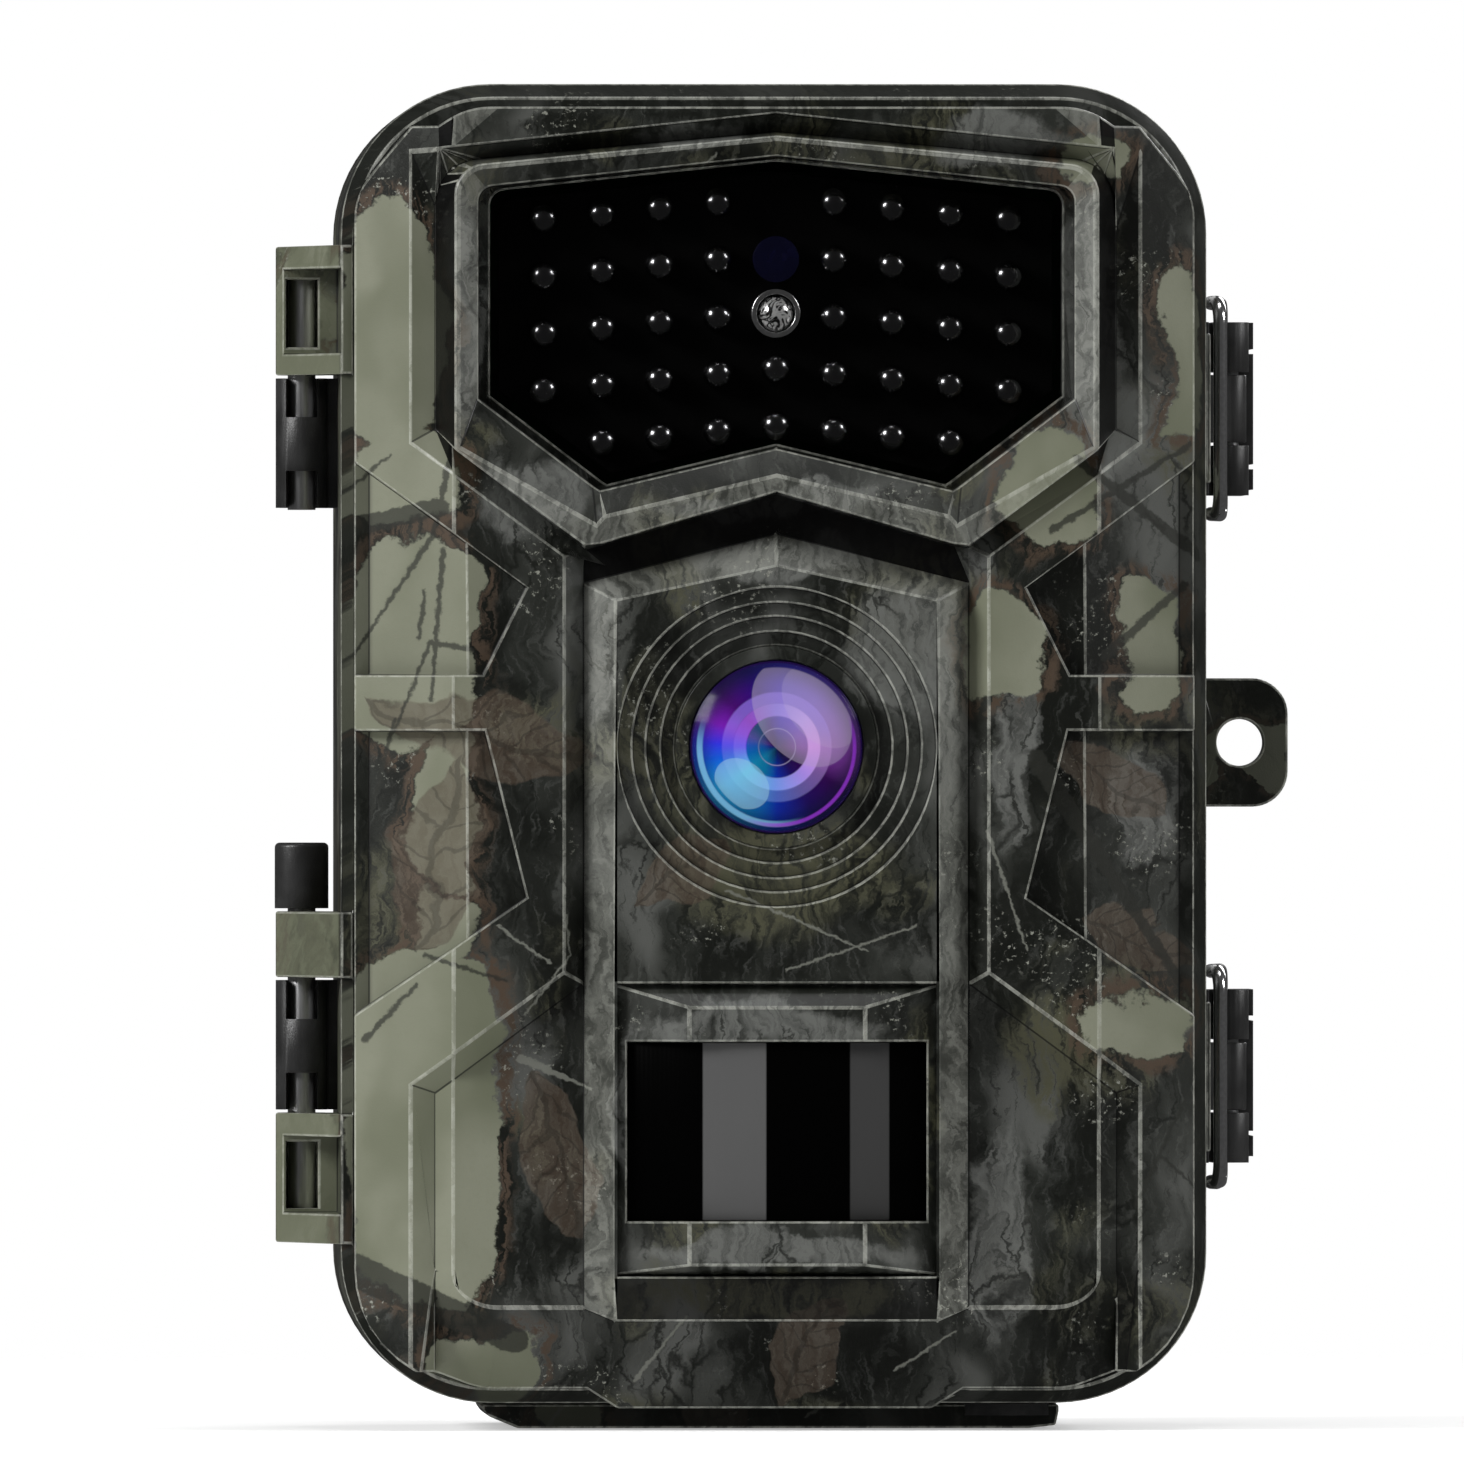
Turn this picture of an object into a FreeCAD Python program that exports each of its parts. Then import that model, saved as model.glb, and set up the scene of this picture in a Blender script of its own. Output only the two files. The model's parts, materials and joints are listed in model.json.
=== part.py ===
"""Trail camera: clamshell housing with toggle latches, infrared array, lens, motion sensor and battery tray.

Millimetres. +Z up, the lens looks along -Y, +X is to the right of someone facing the camera.
The origin is the tripod socket's centre on the underside of the foot.
"""

import FreeCAD, Part
import math
import os

from FreeCAD import Vector

os.makedirs("parts", exist_ok=True)

# ---- overall body ----
HALF_WIDTH = 43.3
Z_BOTTOM = 2.7
Z_TOP = 134.6
CORNER_R = 15.0
WALL = 2.4
Y_PART = -9.0            # the two housings meet here
PART_GAP = 0.15          # each housing stops this far from the meeting plane
Y_BACK = 24.0
REAR_TURN = 6.0          # depth of the bevel round the back
REAR_INSET = 4.5
Y_SKIRT = -31.5          # front of the plain skirt, behind the sculpted plate
SKIRT_INSET = 1.4
SKIRT_BEVEL = 2.2
SKIRT_OVERLAP = 1.0      # raised forms run this far into the skirt

# ---- sculpted front plate ----
Y_PLATE = -41.0
CREASE_X = 32.25         # the flat front turns into the side facet here
FACET_SLOPE = 0.83       # depth lost per millimetre outboard of the crease
POCKET_DEPTH = 1.5
POCKET_CREASE_X = 30.85
RECESS_DEPTH = 2.2
Y_RIDGE = -42.4          # bezel ridge and centre column stand this far forward
Y_FAR = -60.0            # clear of everything in front
CHIN_Z = 12.3
CHIN_SLOPE = 0.66
CHIN_FOOT_DROP = 7.0     # how far behind the plate the recess wall lands at the bottom
PILLOW_R = (4.7, 3.6)    # across and up, the rounding at the foot of the recess floor
Y_PILLOW = -31.0
PILLOW_BACK = 3.0        # how far it runs back behind the skirt's front
PILLOW_OVERLAP = 0.2
FLOAT = 0.05             # raised forms start this far under the recess floor
ARC_STEPS = 6            # chords in each rounded corner of an outline
BELOW, ABOVE, BESIDE = -5.0, 140.0, 50.0     # clear of the body below, above and to each side

# ---- outlines of the front, right half, as (across, up, corner radius) ----
PLATE_HALF = [
    (0, 132.2, 0), (30.9, 132.2, 8.0), (33.75, 130.3, 0), (36.35, 130.3, 0), (42.0, 123.6, 7.0),
    (42.0, 9.34, 11.5), (35.95, 5.9, 0), (34.0, 5.9, 0), (29.5, 4.2, 8.0), (18.8, 4.2, 0), (15.7, 2.2, 0),
    (0, 2.2, 0),
]
# where the recess wall starts at the top, and where it lands on the recess floor
WALL_TOP = [
    (0, 131.5, 0), (33.6, 128.0, 3.6), (36.45, 127.8, 0), (36.45, 98.7, 0), (32.25, 95.6, 0),
    (21.15, 87.4, 0), (21.15, 45.8, 0), (32.25, 37.67, 0), (36.45, 34.6, 0), (36.45, 16.0, 0), (36.45, -2, 0),
    (0, -2, 0),
]
WALL_FOOT = [
    (0, 129.7, 0), (34.0, 126.6, 4.6), (34.0, 120.0, 0), (34.0, 100.07, 0), (32.25, 98.66, 0),
    (19.25, 88.2, 0), (19.25, 44.7, 0), (32.25, 35.07, 0), (34.0, 33.78, 0), (34.0, 16.0, 0), (34.0, -2, 0),
    (0, -2, 0),
]
BEZEL_FOOT = [
    (0, 129.7, 0), (34.0, 126.6, 4.6), (34.0, 100.07, 0), (32.25, 98.66, 0), (19.25, 88.2, 0),
    (17.45, 88.5, 0), (0, 93.64, 0),
]
BEZEL_RIDGE = [
    (0, 129.3, 0), (32.1, 126.2, 3.0), (32.1, 97.9, 0), (29.9, 96.25, 0), (19.2, 88.4, 0), (17.45, 88.6, 0),
    (0, 93.74, 0),
]
CHAMFER_EDGE = [
    (0, 128.9, 0), (31.7, 125.85, 2.7), (31.7, 98.2, 0), (18.0, 90.4, 0), (17.2, 91.3, 0), (0, 95.4, 0),
]
WINDOW_EDGE = [
    (0, 127.3, 0), (29.75, 124.15, 1.6), (29.75, 103.05, 0), (18.1, 94.2, 0), (17.6, 93.9, 0), (0, 98.1, 0),
]
# side pockets, (across, up)
UPPER_POCKET = [(44.0, 98.0), (42.3, 97.0), (24.95, 84.25), (29.3, 75.5), (44.0, 75.5)]
LOWER_POCKET = [(44.0, 69.9), (29.1, 69.9), (24.95, 53.25), (42.3, 41.3), (44.0, 40.3)]

# ---- infrared window ----
Y_WINDOW = -40.6
WINDOW_T = 1.4
WINDOW_MID_Z = 112.0     # the window's outline is scaled about this height
WINDOW_FIT = 0.994       # the pane against its seat
WINDOW_HOLE = (0.96, 0.965)
LED_BOARD_FIT = (0.93, 0.90)
LED_BOARD_Y = -35.6
LED_BOARD_T = 1.2
LED_STEM = 1.6
LED_PITCH_X = 5.8
LED_PITCH_Z = 5.7
LED_R = 1.5
LED_TOP_Z = 123.2
LED_DROOP = 0.55         # rows sag by this much per column away from the centre
LED_ROWS = (4, 4, 4, 4, 3)   # columns on each side of the middle, top row first
LED_OPEN_ROWS = 3        # the middle column is left free in this many rows
LED_BULGE = 0.99         # dome height over radius
SENSOR_Z = 117.0
SENSOR_R = 2.3
SENSOR_H = 3.0
LAMP_Z = 111.6
LAMP_R = 1.85
LAMP_RING_R = 2.45
LAMP_RING_BORE = 1.9
LAMP_RING_H = 2.8

# ---- lens ----
LENS_Z = 68.3
LENS_R = 8.7
FUNNEL_R = (15.9, 14.4, 13.0, 11.5)
FUNNEL_STEP = 0.8
LENS_SEAT_R = 10.1       # the hole in the housing that takes the lens bezel
LENS_RIM_Y = -40.2
LENS_BULGE = 2.6
LENS_EDGE = 1.2
LENS_BEZEL_H = 5.0
LENS_BEZEL_BORE = 7.4
LENS_BARREL_R = 7.2
LENS_BARREL_Y = (-38.6, -29.0)
LENS_STOP_R = 4.0
LENS_STOP_DEPTH = 2.9
LENS_HOLDER_HALF = 9.0
LENS_HOLDER_T = 1.5
SENSOR_BOARD_HALF = 12.0
SENSOR_BOARD_T = 1.2
COLUMN_X = 16.15
COLUMN_FOOT_X = 19.25
COLUMN_EDGE = [(0, 86.5, 0), (COLUMN_X, 83.0, 0), (COLUMN_X, 0, 0), (0, 0, 0)]
COLUMN_FOOT = [(0, 89.6, 0), (COLUMN_FOOT_X, 84.7, 0), (COLUMN_FOOT_X, 0, 0), (0, 0, 0)]
COLUMN_END_Z = (12.3, 11.0)      # the column stops here: beside it, and across its front

# ---- motion sensor bay ----
BAY_TOP = 44.7
BAY_BOTTOM = 15.5
BAY_X = 16.0
BAY_MID_X = 8.75
Y_BAY = -43.9
Y_BAY_SIDE = -41.4
Y_BAY_BACK = -37.5
PIR_TOP = 38.9
PIR_BOTTOM = 21.0
PIR_X = 14.95
PIR_LENS_R = 52.0
PIR_LENS_T = 1.2
PIR_LENS_SIDE_Y = -41.0
PIR_GAP = 0.05
BAY_TOP_SLOPE = (42.3, 44.5)     # heights of the hood's bevel at its front and at its side
BAY_BOTTOM_SLOPE = (16.6, 15.7)
PIR_CAN_R = 4.1
PIR_CAN_H = 4.2
PIR_CAN_Y = -34.0
PIR_FLANGE_R = 4.6
PIR_FLANGE_T = 0.6
PIR_PIN_R = 0.25
PIR_PIN_H = 8.0
PIR_PIN_CIRCLE_R = 2.5
PIR_PIN_ANGLES = (0.5, 2.6, 4.7)

# ---- hinge ----
HINGE_X = -46.9
PIN_R = 1.4
PIN_RUN = 0.07
KNUCKLE_R = 2.6
KNUCKLE_WINDOW_HALF = 1.6
ARM_GAP = 0.35           # between an arm and the meeting plane
ARM_ROOT = 1.2           # how far an arm runs into its wall
FRONT_ARMS = {"upper": (105.6, 118.5), "middle": (45.2, 51.8), "lower": (18.6, 31.6)}
FRONT_WINDOWS = ((108.4, 115.2), (22.0, 28.7))
ARM_RECESSES = ((107.7, 116.2), (21.6, 29.3))    # between an arm's two bars its web is set back
BARRELS = {"upper": (92.3, 105.3), "lower": (31.9, 44.9)}
CRADLE_LOW, CRADLE_HIGH = 3.7, 3.9               # open lengths at a barrel's two ends
PINS = {"upper": (92.1, 118.3), "lower": (18.8, 57.5)}
BARREL_ARM_Y = -3.5
CAP_Z = 52.1
CAP_BORE_TOP = 57.5
CAP_H = 6.6
CAP_ROUND = 0.5

# ---- latches ----
LATCH_Z = {"upper": 102.3, "lower": 35.2}
LATCH_HALF = 8.7
PIVOT = (46.6, -3.5)
BAIL_PIVOT = (45.9, 4.0)
BAIL_BAR = (45.2, -14.5)
BAIL_DIP = (44.35, -8.5)
BAIL_ARM_Z = 10.6
WIRE_R = 0.7
LATCH_PIN_R = 0.8
NOSE_X = 44.3
NOSE_HALF = 7.5
BASE_Y = (-7.5, 0.5)
PIVOT_EAR_HALF = 3.4     # the base's ear between the lever's cheeks
CHEEK_GAP = 0.3
CHEEK_R = 1.85
LATCH_PIN_HALF = 8.2
BAIL_TIP_Z = 5.9
BAIL_SOCKET_Z = 5.6
BAIL_SOCKET_H = 3.4
BAIL_BENDS = (1.3, 12.0, 2.2, 2.2, 12.0, 1.3)
GRIP_NOTCH_Z = 5.8
GRIP_NOTCH_HALF = 0.25

# ---- padlock ears ----
EAR_X = 52.1
EAR_Z = (62.3, 75.2)
EAR_T = 1.9
EAR_HOLE = (47.3, 68.75)
EAR_HOLE_R = 2.35
EAR_CORNER_R = 3.6
EAR_ROOT = 1.5           # how far an ear runs into its wall

# ---- foot and tripod socket ----
FOOT_FRONT = -17.0
FOOT_BACK = 20.0
INSERT_R = 5.0
INSERT_H = 9.0
SOCKET_R = 2.6
SOCKET_H = 8.0
BOSS_WALL = 2.4
BOSS_H = 7.6
FOOT_X = 28.9
FOOT_OUTLINE = [
    (-FOOT_X, 2.4), (-FOOT_X, 2.0), (-28.3, 1.2), (-25.4, 0),
    (25.9, 0), (28.6, 0.3), (FOOT_X, 1.7), (FOOT_X, 2.4),
]
FOOT_TOP = 4.0

# ---- gasket ----
GASKET_MID = 1.2
GASKET_HALF = 0.45
GASKET_DEPTH = 1.0
GASKET_PROUD = 0.1

# ---- batteries ----
CELL_R = 7.25
CELL_H = 50.5
CELL_NUB = 1.0
CELL_PITCH = 15.6
CELL_Y = 10.5
CELL_Z = 16.5
TRAY_X = 32.6
TRAY_Z = (11.0, 120.0)
TRAY_Y = (2.0, 8.0, 20.4)    # front of the end walls, front of the cradle, back
TRAY_WALL = 1.5
TRAY_SIDE = 1.0
CELL_GAP = 0.15
CELL_NUB_R = 2.75
CELL_COLUMNS = [CELL_PITCH * i for i in (-1.5, -0.5, 0.5, 1.5)]
SPRING_WIDTH = 5.0
SPRING_LIFT = 0.3
SPRING_T = 0.4
CONTACT_HALF = 5.0

# ---- inside the front housing ----
Y_CAVITY = -29.6
Y_CAVITY_STEP = -36.6
CAVITY_STEP_X = 28.5
CAVITY_STEP_Z = (14.0, 126.0)
Y_PANEL = -9.9
PANEL_T = 1.6
PANEL_GAP = 0.3
Y_BOARD = -20.4
BOARD_T = 1.6
BOARD_X = 36.0
BOARD_Z = (14.0, 126.0)
KEY_R = 3.0
KEY_GAP = 0.25
SCREEN_Z = (84.0, 122.0)
SCREEN_X = 25.0
SCREEN_Y = (-14.6, -11.7)
SCREEN_RIM = 2.0
CARD_Z = 9.6
CARD = (5.5, 0.5)        # half width and half thickness
CARD_Y = (-24.5, -9.5)
CAGE = (7.5, 1.5)
CAGE_BORE = (5.7, 0.7)
CAGE_Y = (-27.0, -26.4, -11.7)
CARD_OPENING = (5.8, 0.9)
KEYS = {
    "menu_key": (-27.0, 70.0), "ok_key": (-13.0, 60.0), "up_key": (-13.0, 70.0),
    "down_key": (-13.0, 50.0), "left_key": (-23.0, 60.0), "right_key": (-3.0, 60.0),
}
KEY_FLANGE = 0.8
KEY_PROUD = 0.9
KEY_FLANGE_GAP = 0.3
TACT_HALF = 3.0
TACT_H = 4.2
TACT_STEM_R = 1.6
TACT_STEM_H = 0.7
KEY_LIFT = 5.7           # back of a key above the board
SWITCH = (20.0, 62.0)
SWITCH_BODY = (9.0, 4.0)
SWITCH_TRACK = (6.8, 1.7)
SWITCH_OPENING = (7.0, 2.2)
SWITCH_FLOOR_Y = -17.5
SWITCH_TOP_Y = -14.6
KNOB_X = (-6.5, -0.5)    # the slider, at the left end of its travel
KNOB_NECK_Y = (-17.3, -12.0)
KNOB_HALF = (1.4, 1.8)
KNOB_PROUD = 1.3
USB_X = 14.0
USB_Z = 10.1
USB_SHELL = (3.9, 2.0)
USB_BORE = (3.4, 1.5)
USB_TONGUE = (2.5, 0.3)
USB_OPENING = (4.1, 2.1)
USB_Y = (-20.0, -18.5, -10.6)
JACK = (23.5, -22.6)
JACK_R = 4.4
JACK_H = 8.5
JACK_BORE_R = 2.9
JACK_HOLE_R = 3.2
JACK_PIN_R = 0.7
PLUG_FLANGE = (4.2, 1.2)     # radius and thickness
PLUG_STEM = (2.7, 5.6)
PLUG_BORE_R = 1.1
SPEAKER = (24.0, 62.0)
SPEAKER_R = (7.5, 5.0)
SPEAKER_Y = (-27.6, -24.4, -23.4)
MICROPHONE = (-24.0, 40.0)
MICROPHONE_R = 3.0
MICROPHONE_Y = (-26.0, -22.0)

# ---- screws ----
BOARD_SCREWS = ((-33.0, 20.0), (33.0, 20.0), (-33.0, 120.0), (33.0, 120.0))
BOARD_HOLE_R = 1.6
POST_R = 2.8
POST_BORE_R = 1.0
POST_Y = (-29.6, -28.0, -27.5)   # root, bottom of the bore, tip of the screw
BOARD_HEAD = (2.1, 1.3)          # radius and height
PANEL_SCREWS = ((-36.5, 22.0), (36.5, 22.0), (-36.5, 77.0), (36.5, 77.0), (-34.0, 124.0), (34.0, 124.0))
PANEL_HOLE_R = 1.3
PANEL_SHANK_R = 1.25
PANEL_SCREW_TIP_Y = -15.5
PANEL_HEAD = (2.4, 0.9)
SLOT_HALF = 0.25
BRACKET_SCREWS = ((-18.0, 48.5), (18.0, 48.5), (-18.0, 93.5), (18.0, 93.5))
BRACKET_HOLE_R = 1.4
BRACKET_SINK = (2.7, 2.6)        # radius and depth
BRACKET_HEAD = (2.5, 1.8)
BRACKET_SHANK_R = 1.15
BRACKET_PILOT_R = 1.2
BRACKET_SLOT = (1.7, 0.35, 1.0)  # half length, half width, depth

# ---- rear bracket ----
Y_BRACKET = 31.0
BRACKET_X = 27.0
BRACKET_Z = (44.0, 98.0)
STRAP_Z = (53.0, 89.0)
BRACKET_PLATE = 2.2
TEETH = 9
TOOTH_PITCH = 5.6
TOOTH_HALF = 1.6
TOOTH_H = 1.4


# ---------- helpers ----------

def box(x0, x1, y0, y1, z0, z1):
    """An axis-aligned block between two corners."""
    return Part.makeBox(x1 - x0, y1 - y0, z1 - z0, Vector(x0, y0, z0))


def rod(x, y, z, r, h, axis="z"):
    """A cylinder from a point along an axis."""
    along = {"x": Vector(1, 0, 0), "y": Vector(0, 1, 0), "z": Vector(0, 0, 1)}[axis]
    return Part.makeCylinder(r, h, Vector(x, y, z), along)


def fuse(shapes):
    """One solid from several, with coplanar faces merged."""
    result = shapes[0].multiFuse(shapes[1:]) if len(shapes) > 1 else shapes[0]
    return result.removeSplitter()


def cut(shape, tools):
    for tool in tools:
        shape = shape.cut(tool)
    return shape


def both_sides(half):
    """A closed outline from its right half, listed from the top centre round to the bottom centre."""
    left = [(-x, z) for x, z in reversed(half) if x > 0.001]
    return list(half) + left


def front_wire(outline, y):
    """A closed wire in the plane of constant y, from (x, z) points."""
    points = [Vector(x, y, z) for x, z in outline]
    return Part.makePolygon(points + points[:1])


def front_prism(outline, y0, y1):
    """A prism of a frontal outline between two depths."""
    return Part.Face(front_wire(outline, y0)).extrude(Vector(0, y1 - y0, 0))


def front_taper(outline_a, y_a, outline_b, y_b):
    """A ruled block between two frontal outlines with matching points."""
    return Part.makeLoft([front_wire(outline_a, y_a), front_wire(outline_b, y_b)], True, True)


def plan_prism(outline, z0, z1):
    """A prism of a plan outline, (x, y) points, between two heights."""
    points = [Vector(x, y, z0) for x, y in outline]
    return Part.Face(Part.makePolygon(points + points[:1])).extrude(Vector(0, 0, z1 - z0))


def rounded_wire(half, z0, z1, r, y):
    """A rounded rectangle, symmetric in x, in the plane of constant y."""
    x, low, high = half - r, z0 + r, z1 - r
    corners = ((x, high, 0), (-x, high, 90), (-x, low, 180), (x, low, 270))
    arcs = []
    for cx, cz, start in corners:
        a = [math.radians(start + turn) for turn in (0, 45, 90)]
        p = [Vector(cx + r * math.cos(t), y, cz + r * math.sin(t)) for t in a]
        arcs.append(Part.Arc(p[0], p[1], p[2]).toShape())
    edges = []
    for i, arc in enumerate(arcs):
        edges.append(arc)
        following = arcs[(i + 1) % 4]
        edges.append(Part.makeLine(arc.Vertexes[-1].Point, following.Vertexes[0].Point))
    return Part.Wire(Part.__sortEdges__(edges))


def rounded_block(half, z0, z1, r, y0, y1):
    return Part.Face(rounded_wire(half, z0, z1, r, y0)).extrude(Vector(0, y1 - y0, 0))


def rounded_taper(size_a, y_a, size_b, y_b):
    """Each size is (half width, low z, high z, corner radius)."""
    wires = [rounded_wire(*size_a, y_a), rounded_wire(*size_b, y_b)]
    return Part.makeLoft(wires, True, True)


def facet(points):
    """A flat face, or two triangles where a four-sided patch isn't flat."""
    points = [p for i, p in enumerate(points) if (p - points[i - 1]).Length > 1e-6]
    if len(points) < 3:
        return []
    wire = Part.makePolygon(points + points[:1])
    try:
        face = Part.Face(wire)
        if face.isValid() and face.Surface.isPlanar(1e-6):
            return [face]
    except Part.OCCError:
        pass
    first, second, third, fourth = points
    return facet([first, second, third]) + facet([first, third, fourth])


def strip(low, high):
    """The band of facets between two closed rings of matching points."""
    faces = []
    for i in range(len(low)):
        j = (i + 1) % len(low)
        faces += facet([low[i], low[j], high[j], high[i]])
    return faces


def caps(*rings):
    """A flat face across each closed ring."""
    return [Part.Face(Part.makePolygon(ring + ring[:1])) for ring in rings]


def solid_of(faces):
    shell = Part.makeShell(faces)
    shell.sewShape(1e-4)
    solid = Part.makeSolid(Part.Shell(shell.Faces))
    if solid.Volume < 0:
        solid.reverse()
    return solid


def export(name, shapes):
    """Writes one node: a single solid, or a group of separate ones."""
    shapes = shapes if isinstance(shapes, list) else [shapes]
    solids = [solid for shape in shapes for solid in shape.Solids]
    shape = solids[0] if len(solids) == 1 else Part.makeCompound(solids)
    if not shape.isValid():
        print("INVALID", name)
    shape.exportStep(f"parts/{name}.step")
    print(f"{name}: {len(solids)} solids, {shape.Volume:.1f} mm3")


# ---------- the plate's depth ----------

def plate_y(x, drop=0.0, crease=CREASE_X):
    """Depth of the sculpted front at x: flat between the creases, sloping back outboard of them."""
    return Y_PLATE + drop + max(0.0, abs(x) - crease) * FACET_SLOPE


def full_outline(corners):
    """The closed outline of a right-half corner table."""
    return both_sides(rounded(corners))


def on_plate(outline, drop=0.0):
    return [Vector(x, plate_y(x, drop), z) for x, z in outline]


def rounded(corners):
    """An outline from (x, z, radius) corners, with each radius drawn as short chords."""
    points = []
    for i, (x, z, r) in enumerate(corners):
        corner = Vector(x, 0, z)
        if r == 0:
            points.append((x, z))
            continue
        before = (Vector(corners[i - 1][0], 0, corners[i - 1][1]) - corner).normalize()
        after = (Vector(corners[i + 1][0], 0, corners[i + 1][1]) - corner).normalize()
        half = before.getAngle(after) / 2
        centre = corner + (before + after).normalize() * (r / math.sin(half))
        first = corner + before * (r / math.tan(half)) - centre
        last = corner + after * (r / math.tan(half)) - centre
        for step in range(ARC_STEPS + 1):
            share = step / ARC_STEPS
            spoke = (first * (1 - share) + last * share).normalize() * r
            points.append((centre.x + spoke.x, centre.z + spoke.z))
    return points


def side_wedge(sign, crease, drop):
    """Everything in front of one side facet."""
    outline = [
        (sign * crease, Y_PLATE + drop), (sign * BESIDE, plate_y(BESIDE, drop, crease)),
        (sign * BESIDE, Y_FAR), (sign * crease, Y_FAR),
    ]
    return plan_prism(outline, BELOW, ABOVE)


def faceted_slab(outline, drop, crease):
    """A slab of the given outline whose front is the plate's surface, lowered by drop."""
    slab = front_prism(outline, Y_SKIRT + SKIRT_OVERLAP, Y_PLATE + drop)
    return cut(slab, [side_wedge(sign, crease, drop) for sign in (-1, 1)])


def pocket_cutters():
    """The four side pockets: everything inside their outlines above the pocket floor."""
    everywhere = [(-BESIDE, BELOW), (BESIDE, BELOW), (BESIDE, ABOVE), (-BESIDE, ABOVE)]
    floor = faceted_slab(everywhere, POCKET_DEPTH, POCKET_CREASE_X)
    cutters = []
    for pocket in (UPPER_POCKET, LOWER_POCKET):
        for sign in (-1, 1):
            outline = [(sign * x, z) for x, z in pocket]
            cutters.append(front_prism(outline, Y_SKIRT, Y_FAR).cut(floor))
    return cutters


def pillow_ring(y, across, up):
    """The pillow's outline at one depth, with a quarter ellipse at each lower corner."""
    centre_x, centre_z = CREASE_X - PILLOW_R[0], CHIN_Z + PILLOW_R[1]
    steps = 2 * ARC_STEPS
    half = [(0, ABOVE), (centre_x + across, ABOVE)]
    for step in range(steps + 1):
        turn = math.pi / 2 * step / steps
        half.append((centre_x + across * math.cos(turn), centre_z - up * math.sin(turn)))
    half.append((0, centre_z - up))
    return [Vector(x, y, z) for x, z in both_sides(half)]


def pillow():
    """The recess floor: flat in the middle, falling away to the sides and, below the column, to the chin."""
    y_floor = Y_PLATE + RECESS_DEPTH
    fall = Y_PILLOW - y_floor
    inner = pillow_ring(y_floor, *PILLOW_R)
    outer = pillow_ring(Y_PILLOW, PILLOW_R[0] + fall / FACET_SLOPE, PILLOW_R[1] + fall / CHIN_SLOPE)
    back = [Vector(p.x, Y_SKIRT + PILLOW_BACK, p.z) for p in outer]
    return solid_of(caps(inner, back) + strip(inner, outer) + strip(outer, back))


def recess_cutter():
    """The inner recess: walls that slope down from the plate to the recess floor."""
    top = on_plate(full_outline(WALL_TOP))
    foot = on_plate(full_outline(WALL_FOOT), RECESS_DEPTH)
    foot = [p if p.z > 0 else Vector(p.x, Y_PLATE + CHIN_FOOT_DROP, p.z) for p in foot]
    front = [Vector(p.x, Y_FAR, p.z) for p in top]
    deep = [Vector(p.x, Y_PILLOW - PILLOW_OVERLAP, p.z) for p in foot]
    return solid_of(caps(front, deep) + strip(front, top) + strip(top, foot) + strip(foot, deep))


def raised_block(foot_half, edge_half):
    """A raised form whose flanks rise from the recess floor to its front edge."""
    foot = on_plate(full_outline(foot_half), RECESS_DEPTH + FLOAT)
    edge = [Vector(x, Y_RIDGE, z) for x, z in full_outline(edge_half)]
    back = [Vector(p.x, Y_SKIRT + SKIRT_OVERLAP, p.z) for p in foot]
    return solid_of(caps(back, edge) + strip(back, foot) + strip(foot, edge))


def column(floor, outline):
    """The raised column, ended below the motion sensor and trimmed to the plate's outline."""
    beside, across = COLUMN_END_Z
    end = [(-BESIDE, beside), (-COLUMN_FOOT_X, beside), (-COLUMN_X, across), (COLUMN_X, across),
           (COLUMN_FOOT_X, beside), (BESIDE, beside), (BESIDE, BELOW), (-BESIDE, BELOW)]
    block = raised_block(COLUMN_FOOT, COLUMN_EDGE).common(outline)
    return block.cut(front_prism(end, Y_SKIRT, Y_FAR).cut(floor))


def sculpted_plate():
    floor = pillow()
    plate = faceted_slab(full_outline(PLATE_HALF), 0.0, CREASE_X)
    plate = cut(plate, pocket_cutters() + [recess_cutter().cut(floor)])
    outline = front_prism(full_outline(PLATE_HALF), Y_SKIRT + SKIRT_OVERLAP, Y_FAR)
    return fuse([plate, raised_block(BEZEL_FOOT, BEZEL_RIDGE), column(floor, outline)])


# ---------- front housing ----------

def skirt():
    full = (HALF_WIDTH, Z_BOTTOM, Z_TOP, CORNER_R)
    inset = (HALF_WIDTH - SKIRT_INSET, Z_BOTTOM + SKIRT_INSET, Z_TOP - SKIRT_INSET, CORNER_R - SKIRT_INSET)
    block = rounded_block(*full, Y_PART - PART_GAP, Y_SKIRT + SKIRT_BEVEL)
    return fuse([block, rounded_taper(full, Y_SKIRT + SKIRT_BEVEL, inset, Y_SKIRT)])


def front_cavities():
    """Room for the electronics, stepped to follow the sculpted front."""
    main = rounded_block(HALF_WIDTH - WALL, Z_BOTTOM + WALL, Z_TOP - WALL, CORNER_R - WALL, Y_PART, Y_CAVITY)
    x, z = CAVITY_STEP_X, CAVITY_STEP_Z
    centre = box(-x, x, Y_CAVITY_STEP, Y_CAVITY + 0.5 * WALL, *z)
    return [main, centre]


def arm(x_wall, y_front, z0, z1, sign):
    """A knuckle blended into a housing wall. sign is -1 for the front housing, 1 for the rear."""
    near = Y_PART + sign * ARM_GAP
    web = plan_prism([
        (HINGE_X - KNUCKLE_R, near), (HINGE_X - KNUCKLE_R * 0.8, Y_PART + sign * 2.0),
        (x_wall, y_front), (x_wall + ARM_ROOT, y_front), (x_wall + ARM_ROOT, near),
    ], z0, z1)
    return fuse([web, rod(HINGE_X, Y_PART, z0, KNUCKLE_R, z1 - z0)])


def arm_recess(z0, z1):
    """Sets a front arm's web back to the knuckle's front, beside the pin's window."""
    return box(HINGE_X - 2 * KNUCKLE_R, -HALF_WIDTH, Y_FAR, Y_PART - KNUCKLE_R, z0, z1)


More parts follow.
